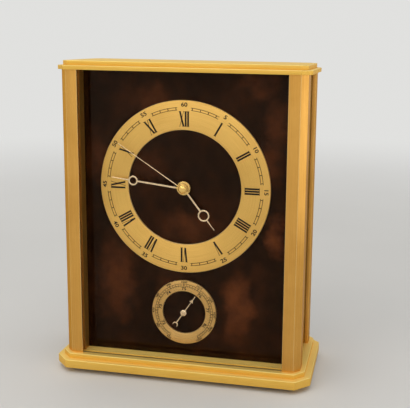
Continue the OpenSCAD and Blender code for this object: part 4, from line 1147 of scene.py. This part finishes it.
@dataclass
class Case:
    """Base, cornice, posts and feet, all on the body called case."""

    body: str = "case"
    slab: Plate = Plate("base_slab", width=152, depth=68, thickness=4.8, chamfer=8, bottom=3.0)
    step: Plate = Plate("base_step", width=145, depth=61, thickness=2.9, chamfer=5.5, bottom=7.8)
    cornice: Plate = Plate("cornice_lower", width=144, depth=60, thickness=2.4, chamfer=5, bottom=177.6)
    cap: Plate = Plate("cornice_upper", width=139, depth=55, thickness=2.6, chamfer=4, bottom=180.0)
    post_in_x: float = 59.7
    post_out_x: float = 70.0
    post_front_y: float = -28.0
    post_back_y: float = -15.5
    post_chamfer: float = 3.7
    post_edge: float = 0.3
    post_crisp_edge: float = 0.14
    glass_slot: tuple[float, float] = (-26.95, -24.05)
    panel_slot: tuple[float, float] = (-18.15, -16.35)
    slot_depth: float = 1.6
    side_slot: tuple[float, float] = (65.95, 67.75)
    side_slot_y: float = -17.25
    groove_depth: float = 1.2
    screw_at: tuple[float, float] = (64.85, 21.75)
    recess: Profile = ((2.85, 2.0), (2.85, 4.7), (2.7, 4.88))
    foot_at: tuple[float, float] = (64.0, 22.0)
    foot: Profile = (
        (2.2, 0.5), (3.3, 0.4), (3.6, 0.0), (4.6, 0.0), (4.9, 0.12), (5.0, 0.4), (5.0, 1.8), (0, 1.8),
    )

    def build(self) -> None:
        """Build the whole case."""
        self.build_plates()
        self.build_posts()
        self.build_feet()

    def groove(self, low: float, high: float) -> Workpiece:
        """Make the cutter of the glass's groove between two heights."""
        reach = self.post_in_x + self.slot_depth
        front, back = self.glass_slot
        return Workpiece.block("groove", (-reach, front, low), (reach, back, high))

    def build_plates(self) -> None:
        """Model the four plates, with the screws' recesses and the grooves that show."""
        slab = self.slab.blank()
        for place in four_corners(*self.screw_at):
            slab.cut(Workpiece.turned("recess", self.recess).move((*place, 0)))
        step = self.step.blank().cut(self.groove(self.step.top - self.groove_depth, self.step.top + 1))
        cornice = self.cornice.blank()
        cornice.cut(self.groove(self.cornice.bottom - 1, self.cornice.bottom + self.groove_depth))
        pieces = {self.slab: slab, self.step: step, self.cornice: cornice, self.cap: self.cap.blank()}
        for plate, piece in pieces.items():
            piece.mark_rubbed(worn_plate).set_down(LEDGE_GILT, self.body, plate.node)

    def post(self, name: str, glazed: bool) -> Workpiece:
        """Model a post at the right front.

        Args:
            name: Name of the post.
            glazed: True if it holds the glass and the dial panel.

        Returns:
            The post.
        """
        low, high = self.step.top, self.cornice.bottom
        inside, outside, chamfer = self.post_in_x, self.post_out_x, self.post_chamfer
        front, back = self.post_front_y, self.post_back_y
        piece = Workpiece.block(name, (inside, front, low), (outside, back, high))
        piece.bevel(chamfer, 1, upright([(outside, front)]))
        piece.bevel(self.post_edge, 2, upright([(inside, front)]))
        slots = [((self.side_slot[0], self.side_slot_y), (self.side_slot[1], back + 1))]
        if glazed:
            for y in (self.glass_slot, self.panel_slot):
                slots.append(((inside - 1, y[0]), (inside + self.slot_depth, y[1])))
        for start, end in slots:
            piece.cut(Workpiece.block("slot", (*start, low - 1), (*end, high + 1)))
        crisp = [(outside - chamfer, front), (outside, front + chamfer), (outside, back), (inside, back)]
        return piece.bevel(self.post_crisp_edge, 2, upright(crisp))

    def build_posts(self) -> None:
        """Model one front and one rear post and set all four down."""
        front = self.post("post_front_right_piece", glazed=True)
        rear = self.post("post_rear_right_piece", glazed=False).flip("Y")
        pieces = {
            "post_front_left": front.copy("post_front_left_piece").flip("X"),
            "post_rear_left": rear.copy("post_rear_left_piece").flip("X"),
            "post_front_right": front,
            "post_rear_right": rear,
        }
        for node, piece in pieces.items():
            piece.mark_rubbed(self.worn_post).set_down(POST_GILT, self.body, node)

    def worn_post(self, centre: Vector, normal: Vector) -> float:
        """Say that a narrow bevel of a post gets a painted highlight, but not its broad chamfer."""
        if abs(normal.z) > 0.5:
            return 0.0
        slant = min(abs(normal.x), abs(normal.y))
        diagonal = abs(slant - math.sqrt(0.5)) < 0.02
        chamfer = diagonal and abs(centre.x) > self.post_out_x - self.post_chamfer
        return 1.0 if slant > SLOPING and not chamfer else 0.0

    def build_feet(self) -> None:
        """Turn one rubber foot with a hollow in its sole and copy it to the other corners."""
        foot = Workpiece.turned("feet_piece", self.foot)
        first, *others = four_corners(*self.foot_at)
        feet = [foot.copy("foot").move((*place, 0)) for place in others]
        foot.move((*first, 0)).join(*feet).set_down(RUBBER, self.body, "feet")


# ----------------------------------------------------------------------------------------- the dial
@dataclass
class Dial:
    """A flat open ring on the panel, and what is printed on it.

    minute is the angle between two ticks. digit_gap and digits_gap are half the angles that the
    minute track leaves free for a number of one digit and of two.
    """

    node: str
    finish: Finish
    centre_z: float
    outer_r: float
    inner_r: float
    bevel: float
    panel_y: float = -18.0
    thickness: float = 1.0
    print_depth: float = 0.05
    minute: float = 6.0
    digit_gap: float = 3.9
    digits_gap: float = 5.1
    body: str = "case"

    def build_ring(self) -> None:
        """Turn the ring, with a bevel on both sides, and stand it up."""
        profile = ring_profile(self.outer_r, self.inner_r, self.thickness, self.bevel, DIAL_BEVEL)
        ring = Workpiece.turned(self.node + "_piece", profile, RING_SIDES, ring=True)
        ring.mark_rubbed(worn_ring).face_front(self.panel_y, 0, self.centre_z)
        ring.set_down(self.finish, self.body, self.node)

    def set_down_print(self, marks: Workpiece, name: str, node: str | None = None) -> None:
        """Stand a print up on the ring's face and set it down.

        Args:
            marks: The print.
            name: Its name.
            node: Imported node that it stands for, or None.
        """
        marks.item.name = name
        marks.face_front(self.panel_y - self.thickness, 0, self.centre_z)
        marks.set_down(ENAMEL, self.body, node)

    def build_numbers(
        self, name: str, labels: Iterable[tuple[float, str]], radius: float, height: float
    ) -> None:
        """Print plain numbers round the ring, the lower ones upright.

        Args:
            name: Name of the print.
            labels: Angle clockwise from the top and digits of each number.
            radius: Radius of the numbers' middle.
            height: Height of a digit.
        """
        pieces = []
        for angle, words in labels:
            number = Workpiece.lettering(name, words, height, self.print_depth)
            if math.cos(math.radians(angle)) < -0.01:
                number.turn(180, "Z")
            pieces.append(number.move((0, radius, 0)).turn(-angle, "Z"))
        self.set_down_print(pieces[0].join(*pieces[1:]), name)

    def circle(self, radius: float, width: float) -> Workpiece:
        """Turn a printed line that runs all round."""
        d = self.print_depth
        profile = [(radius, 0), (radius, d), (radius + width, d), (radius + width, 0)]
        return Workpiece.turned("line", profile, LINE_SIDES, ring=True)

    def spokes(
        self, angles: Iterable[float], start: float, end: float, width: float, low: float, high: float
    ) -> Workpiece:
        """Model one radial bar and copy it round the dial.

        Args:
            angles: Angles of the bars, clockwise from the top.
            start: Inner radius of a bar.
            end: Outer radius of a bar.
            width: Its width.
            low: Its lowest height over the ring.
            high: Its highest height over the ring.

        Returns:
            All the bars as one piece.
        """
        first, *others = angles
        bar = Workpiece.block("bar", (-width / 2, start, low), (width / 2, end, high)).turn(-first, "Z")
        return bar.join(*(bar.copy("bar").turn(first - angle, "Z") for angle in others))

    def build_ticks(
        self, name: str, angles: Iterable[float], start: float, length: float, width: float
    ) -> None:
        """Print a row of ticks round the ring.

        Args:
            name: Name of the print.
            angles: Angles of the ticks, clockwise from the top.
            start: Inner radius of a tick.
            length: Its length.
            width: Its width.
        """
        ticks = self.spokes(angles, start, start + length, width, 0, self.print_depth)
        self.set_down_print(ticks, name)

    def build_scale(
        self, node: str, radius: float, reach: float, half_angle: float, line: float
    ) -> None:
        """Print a scale: two open arcs and ticks between them, each fifth one longer and bolder.

        Args:
            node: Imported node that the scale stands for.
            radius: Outer radius of the inner arc.
            reach: Length of a short tick.
            half_angle: Angle from the top to either end of the scale.
            line: Width of a line.
        """
        scale = self.circle(radius - line, line).join(self.circle(radius + reach, line))
        mouth = 2 * (radius + reach / 2) * math.sin(math.radians(180 - half_angle))
        scale.cut(self.spokes([180.0], radius / 2, radius + 2 * reach, mouth, -1, 1))
        steps = int(2 * half_angle / self.minute)
        angles = [self.minute * step - half_angle for step in range(steps + 1)]
        for every, length, width in ((1, reach, line), (5, 1.5 * reach, 2 * line)):
            scale.join(self.spokes(angles[::every], radius, radius + length, width, 0, self.print_depth))
        self.set_down_print(scale, node + "_piece", node)

    def build_track(self, node: str, inner_r: float, band: float, line: float, tick: float) -> None:
        """Print the minute track: two circles broken at the numbers, with ticks between the numbers.

        Args:
            node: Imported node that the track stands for.
            inner_r: Inner radius of the inner circle.
            band: Distance between the two circles.
            line: Width of a circle.
            tick: Width of a tick.
        """
        track = self.circle(inner_r, line).join(self.circle(inner_r + band, line))
        five, *others = [self.minute * minute for minute in range(5, 61, 5)]
        for half_gap, angles in ((self.digit_gap, [five]), (self.digits_gap, others)):
            gap = 2 * (inner_r + band / 2) * math.sin(math.radians(half_gap))
            track.cut(self.spokes(angles, inner_r - 1, inner_r + band + 1, gap, -1, 1))
        angles = [self.minute * minute for minute in range(60) if minute % 5]
        track.join(self.spokes(angles, inner_r, inner_r + band + line, tick, 0, self.print_depth))
        self.set_down_print(track, node + "_piece", node)


# ---------------------------------------------------------------------------------------- the hands
@dataclass
class RingHand:
    """A clock hand with an open ring, its eye, on its shaft. Its own sizes are the hour hand's.

    angle is where it points, clockwise from the top. waist is the shaft's width at the eye as a
    share of its full width, and overlap is how far the shaft and the point reach into the eye.
    A groove_r of 0 means that the boss has no groove.
    """

    node: str
    body: str
    plane_y: float
    angle: float
    length: float
    bore_r: float
    eye_r: float = 19.3
    eye_d: float = 6.8
    boss_d: float = 8.0
    boss_t: float = 0.8
    centre_z: float = DIAL_Z
    width: float = 1.0
    eye_w: float = 0.85
    tip_w: float = 0.35
    thickness: float = 0.4
    groove_r: float = 0.0
    groove_w: float = 0.32
    boss_step: float = 0.2
    overlap: float = 0.4
    waist: float = 0.92

    def blade(self, start: float, end: float, start_w: float, end_w: float) -> Workpiece:
        """Model a stretch of the shaft with rounded upper edges.

        Args:
            start: Where it starts, along the hand.
            end: Where it ends.
            start_w: Width at its start.
            end_w: Width at its end.

        Returns:
            The stretch.
        """
        piece = Workpiece.block("blade", (-start_w / 2, start, 0), (start_w / 2, end, self.thickness))
        piece.narrow_end(end, end_w / start_w)
        edge = 0.32 * min(start_w, end_w, self.thickness)
        return piece.bevel(edge, 2, lambda mid, way: abs(way.y) > 0.9 and mid.z > 0.6 * self.thickness)

    def disc(self, outer: float, inner: float, thickness: float) -> Workpiece:
        """Turn a ring with rounded upper edges.

        Args:
            outer: Its outer radius.
            inner: Its inner radius.
            thickness: Its thickness.

        Returns:
            The ring.
        """
        edge = 0.28 * min(thickness, outer - inner)
        profile = ring_profile(outer, inner, thickness, edge, HAND_BEVEL)
        return Workpiece.turned("disc", profile, HAND_SIDES, ring=True)

    def set_down_hand(self, hand: Workpiece) -> None:
        """Turn a hand to its place on the dial and set it down."""
        hand.item.name = self.node + "_piece"
        hand.face_front(self.plane_y, 0, self.centre_z, self.angle).mark_rubbed(worn_hand)
        hand.set_down(HAND_GILT, self.body, self.node)

    def build(self) -> None:
        """Model the boss, the shaft, the ring and the point, fuse them and set the hand down."""
        boss_r, eye_out = self.boss_d / 2, self.eye_d / 2
        shaft_start, shaft_end = (boss_r + self.bore_r) / 2, self.eye_r - eye_out + self.overlap
        at_eye = self.width - (self.width - self.tip_w) * eye_out / (self.length - self.eye_r)
        hand = self.disc(boss_r, self.bore_r, self.thickness)
        hand.fuse(
            self.disc(boss_r - self.boss_step, self.bore_r, self.boss_t),
            self.blade(shaft_start, shaft_end, self.width, self.width * self.waist),
            self.disc(eye_out, eye_out - self.eye_w, self.thickness).move((0, self.eye_r, 0)),
            self.blade(self.eye_r + eye_out - self.overlap, self.length, at_eye, self.tip_w),
        )
        if self.groove_r:
            inner, outer = self.groove_r, self.groove_r + self.groove_w
            low, high = self.boss_t - self.groove_w, self.boss_t + 1
            profile = [(inner, low), (inner, high), (outer, high), (outer, low)]
            hand.cut(Workpiece.turned("groove", profile, HAND_SIDES, ring=True))
        self.set_down_hand(hand)


@dataclass
class SecondHand(RingHand):
    """The thin straight hand of the seconds, with the domed cap over it."""

    tail: float = 3.5
    end_w: float = 0.3
    boss: Profile = ((1.7, 0), (1.7, 0.35), (1.6, 0.45), (0.2, 0.45))
    cap_r: float = 2.4
    cap_h: float = 0.85
    cap_y: float = -22.9
    cap_smooth: float = 50.0

    def build(self) -> None:
        """Model the blade with its boss, and the cap."""
        hand = self.blade(-self.tail, self.length, self.width, self.end_w)
        hand.fuse(Workpiece.turned("boss", self.boss))
        hand.cut(Workpiece.turned("bore", [(self.bore_r, -1), (self.bore_r, 2)], BORE_SIDES))
        self.set_down_hand(hand)
        self.build_cap()

    def build_cap(self) -> None:
        """Turn the cap: a fine rim and a dome."""
        r, h = self.cap_r, self.cap_h
        slopes = [math.radians(degrees) for degrees in range(10, 90, 10)]
        dome = [(0.9 * r * math.cos(slope), 0.2 * h + 0.8 * h * math.sin(slope)) for slope in slopes]
        profile = [(r, 0), (r, 0.1 * h), (0.97 * r, 0.18 * h), *dome, (0, h)]
        cap = Workpiece.turned("hand_cap_piece", profile, HAND_SIDES)
        cap.face_front(self.cap_y, 0, self.centre_z)
        cap.set_down(CAP_GILT, self.body, "hand_cap", self.cap_smooth)


@dataclass
class Pointer:
    """The barometer's pointer: a needle with an arrowhead, a crescent tail and a slotted hub."""

    node: str = "barometer_pointer"
    body: str = "barometer_pointer"
    plane_y: float = -19.75
    centre_z: float = BARO_Z
    angle: float = 34.0
    length: float = 12.6
    width: float = 0.65
    thickness: float = 0.3
    arrow_r: float = 8.9
    crescent_r: float = 8.9
    crescent_d: float = 3.2
    hub_r: float = 1.85
    hub_t: float = 0.8
    bore_r: float = 0.65
    bore_depth: float = 0.5
    slot_w: float = 0.48
    tip_share: float = 0.6
    soft_edge: float = 0.05

    def arrowhead(self) -> Workpiece:
        """Model the arrowhead: a bar drawn in to a point, with a diamond cut out of its foot."""
        wing, head = 1.9 * self.width, 2.2 * self.width
        foot, tip = self.arrow_r - head / 2, self.arrow_r + head
        piece = Workpiece.block("arrowhead", (-wing, foot, 0), (wing, tip, self.thickness))
        piece.narrow_end(tip, 0.06)
        half = 0.9 * wing
        notch = Workpiece.block("notch", (-half, -half, -1), (half, half, 2)).turn(45, "Z")
        return piece.cut(notch.stretch((1, 0.55, 1)).move((0, foot - 0.42 * wing, 0)))

    def crescent(self) -> Workpiece:
        """Turn the tail's crescent: a ring that is thinner and open towards the end."""
        r = self.crescent_d / 2
        ring = Workpiece.turned("crescent", [(r, 0), (r, self.thickness)])
        inner = r - 0.5 * self.width - self.width / 6
        ring.cut(
            Workpiece.turned("hollow", [(inner, -1), (inner, 2)]).move((0, -self.width / 2, 0)),
            Workpiece.block("mouth", (-2 * r, -3 * r, -1), (2 * r, -0.5 * r, 2)),
        )
        return ring.move((0, -self.crescent_r, 0))

    def build(self) -> None:
        """Model the pointer and set it down."""
        half, r, t = self.width / 2, self.hub_r, self.hub_t
        end = self.crescent_r - self.crescent_d / 2 + self.width
        pointer = Workpiece.block("needle", (-half, -end, 0), (half, self.length, self.thickness))
        pointer.narrow_end(self.length, self.tip_share)
        hub = [(r, 0), (r, 0.55 * t), (0.94 * r, 0.72 * t), (0.78 * r, 0.9 * t), (0.5 * r, t)]
        pointer.fuse(self.arrowhead(), self.crescent(), Workpiece.turned("hub", hub))
        slot_x, slot_y = 0.6 * r, self.slot_w / 2
        pointer.cut(
            Workpiece.turned("bore", [(self.bore_r, -1), (self.bore_r, self.bore_depth)], BORE_SIDES),
            Workpiece.block("slot", (-slot_x, -slot_y, 0.7 * t), (slot_x, slot_y, 2)),
        )
        pointer.soften(self.soft_edge, 2)
        pointer.item.name = self.node + "_piece"
        pointer.face_front(self.plane_y, 0, self.centre_z, self.angle).mark_rubbed(worn_hand)
        pointer.set_down(HAND_GILT, self.body, self.node)


# ------------------------------------------------------------------------------------ the back door
@dataclass
class BackDoor:
    """The lacquered door on its hinge pins, with a turned knob.

    The knob's profile is given in shares of its radius and height, the screw's in mm.
    """

    body: str = "back_door"
    half_w: float = 59.2
    bottom: float = 11.2
    top: float = 177.1
    inner_y: float = 25.8
    outer_y: float = 27.8
    rim: float = 0.35
    hinge_at: tuple[float, float] = (-57.8, 26.8)
    pin_r: float = 0.75
    pin_hold: float = 6.0
    knob_at: tuple[float, float] = (51.2, 94.15)
    knob_r: float = 4.0
    knob_h: float = 5.2
    knob: Profile = (
        (0.7, 0), (0.7, 0.1), (0.66, 0.16), (0.5, 0.24), (0.44, 0.34), (0.47, 0.44), (0.7, 0.55),
        (0.93, 0.62), (1, 0.68), (1, 0.82), (0.97, 0.87), (0.86, 0.93), (0.8, 0.945), (0.77, 0.93),
        (0.7, 0.95), (0.45, 0.98), (0.2, 0.995), (0, 1),
    )
    knob_smooth: float = 40.0
    screw: Profile = ((1.9, -3.3), (1.9, -2.2), (1.75, -2.0), (0.95, -2.0), (0.95, 0.5))

    def build(self) -> None:
        """Model the door with bevelled rims and bores, and its knob."""
        low, high = (-self.half_w, self.inner_y, self.bottom), (self.half_w, self.outer_y, self.top)
        door = Workpiece.block("back_door_piece", low, high).soften(self.rim, 3)
        foot = (self.bottom - 1, self.bottom + self.pin_hold)
        head = (self.top - self.pin_hold, self.top + 1)
        for start, end in (foot, head):
            bore = Workpiece.turned("bore", [(self.pin_r, start), (self.pin_r, end)], BORE_SIDES)
            door.cut(bore.move((*self.hinge_at, 0)))
        door.set_down(CASE_LACQUER, self.body, "back_door")
        self.build_knob()

    def build_knob(self) -> None:
        """Turn the knob with its collar, neck and crowned head, and the screw behind it."""
        profile = [(radius * self.knob_r, height * self.knob_h) for radius, height in self.knob]
        knob = Workpiece.turned("door_knob_piece", profile, KNOB_SIDES)
        knob.join(Workpiece.turned("screw", self.screw))
        knob.turn(-90, "X").move((self.knob_at[0], self.outer_y, self.knob_at[1]))
        knob.set_down(KNOB_GILT, self.body, "door_knob", self.knob_smooth)


# ---------------------------------------------------------------------------------------- the works
@dataclass
class Works:
    """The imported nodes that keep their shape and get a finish.

    Those in plain have flat faces only, the others are shaded smooth.
    """

    plain: tuple[str, ...] = ("front_glass", "hour_numerals")

    def dress(self, nodes: dict[str, bpy.types.Object]) -> None:
        """Dress every node that no new piece stands for.

        Args:
            nodes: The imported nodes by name.
        """
        for name, finish in NODE_FINISHES.items():
            node = nodes[name]
            node.data.materials.clear()
            node.data.materials.append(finish.material())
            if name not in self.plain:
                self.smooth(node)
            LOG.info("%s: packed node in %s", name, finish.name)

    def smooth(self, node: bpy.types.Object) -> None:
        """Weld a node's triangles in a modifier and shade its curves smooth between crisp edges.

        Args:
            node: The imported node.
        """
        weld = node.modifiers.new("weld", "WELD")
        weld.merge_threshold = NODE_WELD
        for face in node.data.polygons:
            face.use_smooth = True
        split = node.modifiers.new("crisp", "EDGE_SPLIT")
        split.split_angle = math.radians(NODE_SHARP_ANGLE)


# ---------------------------------------------------------------------------------------- the stage
@dataclass
class Lamp:
    """A soft rectangular lamp.

    strength is the brightness of its face where its light spreads over all 180 degrees.
    """

    name: str
    at: Place
    aim: Place
    width: float
    height: float
    strength: float
    colour: Colour = (1.0, 1.0, 1.0)
    spread: float = 180.0

    def hang(self) -> None:
        """Hang the lamp and aim it."""
        data = bpy.data.lights.new(self.name, "AREA")
        data.shape = "RECTANGLE"
        data.size = self.width
        data.size_y = self.height
        data.energy = self.strength * math.pi * self.width * self.height
        data.color = self.colour
        data.spread = math.radians(self.spread)
        lamp = bpy.data.objects.new(self.name, data)
        bpy.context.scene.collection.objects.link(lamp)
        lamp.location = self.at
        way = Vector(self.aim) - Vector(self.at)
        lamp.rotation_euler = way.to_track_quat("-Z", "Y").to_euler()
        lamp.visible_camera = False


@dataclass
class Stage:
    """The pale floor that curves up all round, the lamps, the sky and the camera.

    The floor is a bowl in metres. Between fade_start and fade_end, in mm from its middle, it
    passes into the backdrop. The camera's turns are in degrees.
    """

    floor_r: float = 2.2
    rise_r: float = 1.1
    wall_top: float = 1.9
    floor_smooth: float = 40.0
    floor_colour: Colour = (0.74, 0.735, 0.72)
    floor_shade: float = 0.96
    cloud_size: float = 260.0
    paper_size: float = 1.2
    paper_depth: float = 0.02
    backdrop_colour: Colour = (0.75, 0.75, 0.735)
    fade_start: float = 260.0
    fade_end: float = 1150.0
    sky: Colour = (0.40, 0.40, 0.40)
    lamps: tuple[Lamp, ...] = (
        Lamp(
            "top_lamp", at=(-0.05, -0.15, 1.5), aim=(0.0, 0.0, 0.0), width=2.6, height=2.2,
            strength=0.9, colour=(1.0, 0.985, 0.95),
        ),
        Lamp(
            "key_lamp", at=(-0.7, -0.95, 1.0), aim=(0.0, 0.0, 0.08), width=0.8, height=0.7,
            strength=1.5, colour=(1.0, 0.985, 0.95),
        ),
        Lamp(
            "front_lamp", at=(0.05, -1.7, 0.62), aim=(0.0, 0.0, 0.15), width=1.7, height=0.7,
            strength=0.95, colour=(1.0, 0.98, 0.94),
        ),
        Lamp(
            "side_lamp", at=(0.29, -0.055, 0.165), aim=(0.0, -0.055, 0.165), width=0.2, height=0.26,
            strength=0.25, colour=(1.0, 0.98, 0.94), spread=100.0,
        ),
    )
    camera_at: Place = (0.112016, -0.421861, 0.194901)
    yaw: float = 10.704
    pitch: float = 9.954
    roll: float = 0.922
    focal_px: float = 746.516
    centre_px: tuple[float, float] = (246.25, 171.75)
    frame_px: tuple[int, int] = (410, 408)
    sensor: float = 36.0
    clip_start: float = 0.01

    def build(self) -> None:
        """Lay the floor, hang the lamps and set up the camera."""
        self.lay_floor()
        for lamp in self.lamps:
            lamp.hang()
        self.light_sky()
        self.set_camera()
        bpy.context.scene.view_settings.view_transform = "Standard"

    def lay_floor(self) -> None:
        """Turn the floor as a wide shallow bowl, so that no corner or edge shows behind the object."""
        deselect()
        slopes = [math.radians(degrees) for degrees in range(9, 99, 9)]
        rise = [
            (self.floor_r + self.rise_r * math.sin(slope), self.rise_r * (1 - math.cos(slope)))
            for slope in slopes
        ]
        profile = [(0.6, 0.0), (self.floor_r, 0.0), *rise, (self.floor_r + self.rise_r, self.wall_top)]
        floor = Workpiece.turned("studio_floor", profile, FLOOR_SIDES)
        self.open_bowl(floor.item)
        bpy.ops.object.shade_smooth_by_angle(angle=math.radians(self.floor_smooth))
        bench = Bench("pale_floor")
        self.fade_out(bench, self.paint_floor(bench))
        floor.item.data.materials.clear()
        floor.item.data.materials.append(bench.material)

    def open_bowl(self, floor: bpy.types.Object) -> None:
        """Take the lid off the turned bowl and let its faces point inwards.

        Args:
            floor: The bowl.
        """
        pick(floor)
        bpy.ops.object.mode_set(mode="EDIT")
        bpy.ops.mesh.select_mode(type="FACE")
        bpy.ops.mesh.select_all(action="DESELECT")
        mesh = bmesh.from_edit_mesh(floor.data)
        for face in mesh.faces:
            face.select_set(face.calc_center_median().z > self.wall_top - NEAR)
        bmesh.update_edit_mesh(floor.data)
        bpy.ops.mesh.delete(type="FACE")
        bpy.ops.mesh.select_all(action="SELECT")
        bpy.ops.mesh.flip_normals()
        bpy.ops.object.mode_set(mode="OBJECT")

    def paint_floor(self, bench: Bench) -> bpy.types.Node:
        """Lay out the floor's pale paper: slow changes of tone and a faint relief.

        Args:
            bench: The floor material's nodes.

        Returns:
            The shader node.
        """
        clouds = bench.noise(bench.place(size=(self.cloud_size,) * 3), detail=3)
        paper = bench.noise(bench.place(size=(self.paper_size,) * 3))
        deep = [c * self.floor_shade for c in self.floor_colour]
        inputs = {
            "Base Color": bench.blend(bench.span(clouds, 0.3, 0.7), self.floor_colour, deep),
            "Roughness": 0.8,
            "Specular IOR Level": 0.1,
            "Normal": bench.bump(paper, self.paper_depth),
        }
        return bench.shade(inputs)

    def fade_out(self, bench: Bench, shader: bpy.types.Node) -> None:
        """Let the floor pass into an even pale backdrop far off, for what is seen of it.

        Args:
            bench: The floor material's nodes.
            shader: Its main shader.
        """
        reach = bench.length(bench.place())
        rays = bench.node("ShaderNodeLightPath").outputs
        seen = bench.sum("MAXIMUM", rays["Is Camera Ray"], rays["Is Glossy Ray"])
        seen = bench.sum("MAXIMUM", seen, rays["Is Transmission Ray"])
        share = bench.sum("MULTIPLY", seen, bench.span(reach, self.fade_start, self.fade_end))
        backdrop = {"Color": opaque(self.backdrop_colour), "Strength": 1.0}
        glow = bench.node("ShaderNodeEmission", backdrop)
        shaders = {0: share, 1: shader.outputs[0], 2: glow.outputs[0]}
        mixed = bench.node("ShaderNodeMixShader", shaders).outputs[0]
        bench.tree.links.new(mixed, shader.outputs[0].links[0].to_node.inputs["Surface"])

    def light_sky(self) -> None:
        """Give the world an even pale light."""
        world = bpy.data.worlds.new("pale_sky")
        world.use_nodes = True
        bpy.context.scene.world = world
        world.node_tree.nodes["Background"].inputs[0].default_value = (*self.sky, 1.0)

    def set_camera(self) -> None:
        """Place the camera at the photograph's view."""
        yaw, pitch, roll = (math.radians(a) for a in (self.yaw, self.pitch, self.roll))
        right = Vector((math.cos(yaw), math.sin(yaw), 0))
        level_ahead = Vector((-math.sin(yaw), math.cos(yaw), 0))
        ahead = math.cos(pitch) * level_ahead - math.sin(pitch) * Vector((0, 0, 1))
        above = right.cross(ahead)
        turned_right = math.cos(roll) * right + math.sin(roll) * above
        turned_above = math.cos(roll) * above - math.sin(roll) * right
        frame_w, frame_h = self.frame_px
        data = bpy.data.cameras.new("photo_camera")
        data.sensor_width = self.sensor
        data.lens = self.focal_px * self.sensor / frame_w
        data.shift_x = (frame_w / 2 - self.centre_px[0]) / frame_w
        data.shift_y = (self.centre_px[1] - frame_h / 2) / frame_w
        data.clip_start = self.clip_start
        camera = bpy.data.objects.new("photo_camera", data)
        bpy.context.scene.collection.objects.link(camera)
        turn = Matrix((turned_right, turned_above, -ahead)).transposed().to_4x4()
        camera.matrix_world = Matrix.Translation(self.camera_at) @ turn
        bpy.context.scene.camera = camera


def build_clock_dial() -> None:
    """Build the chapter ring with its minute numbers and its track."""
    dial = Dial("chapter_ring", CHAPTER_BRASS, centre_z=DIAL_Z, outer_r=50.0, inner_r=33.1, bevel=0.42)
    dial.build_ring()
    minutes = [(dial.minute * minute, str(minute)) for minute in range(5, 61, 5)]
    dial.build_numbers("minute_numbers", minutes, radius=47.35, height=2.3)
    dial.build_track("minute_track", inner_r=44.28, band=1.4, line=0.3, tick=0.42)


def build_barometer_dial() -> None:
    """Build the barometer's ring with its two scales, hectopascal and centimetres of mercury."""
    dial = Dial("barometer_ring", BARO_BRASS, centre_z=BARO_Z, outer_r=19.45, inner_r=12.85, bevel=0.36)
    dial.build_ring()
    pressures = [(-150.0 + 30 * step, str(950 + 10 * step)) for step in range(11)]
    dial.build_numbers("pressure_numbers", pressures, radius=18.42, height=1.2)
    columns = [(-120.0 + 40 * step, str(72 + step)) for step in range(7)]
    dial.build_numbers("column_numbers", columns, radius=14.4, height=1.8)
    dial.build_scale("barometer_scale", radius=16.2, reach=1.0, half_angle=150.0, line=0.22)
    angles = [-148.0 + 4 * step for step in range(75)]
    dial.build_ticks("column_ticks", angles, start=15.35, length=0.62, width=0.2)


def build_hands() -> None:
    """Build the three hands, at the time that the photograph shows."""
    RingHand(
        node="hour_hand", body="hour_hand", plane_y=-19.9, angle=142.3, length=29.6,
        bore_r=2.55, groove_r=2.95,
    ).build()
    RingHand(
        node="minute_hand", body="minute_hand", plane_y=-21.3, angle=276.4, length=42.7,
        bore_r=1.65, eye_r=29.65, eye_d=5.6, boss_d=5.6, boss_t=0.6,
    ).build()
    SecondHand(
        node="second_hand", body="second_hand", plane_y=-22.45, angle=303.0, length=45.0,
        bore_r=0.55, width=0.6, thickness=0.25,
    ).build()


def main() -> None:
    """Build and dress the whole clock, the stage and the camera."""
    logging.basicConfig(level=logging.INFO, format="%(name)s: %(message)s")
    for item in list(bpy.data.objects):
        bpy.data.objects.remove(item)
    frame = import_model()
    Stage().build()
    Case().build()
    build_clock_dial()
    build_barometer_dial()
    build_hands()
    Pointer().build()
    BackDoor().build()
    Works().dress(frame["nodes"])


if __name__ == "__main__":
    main()
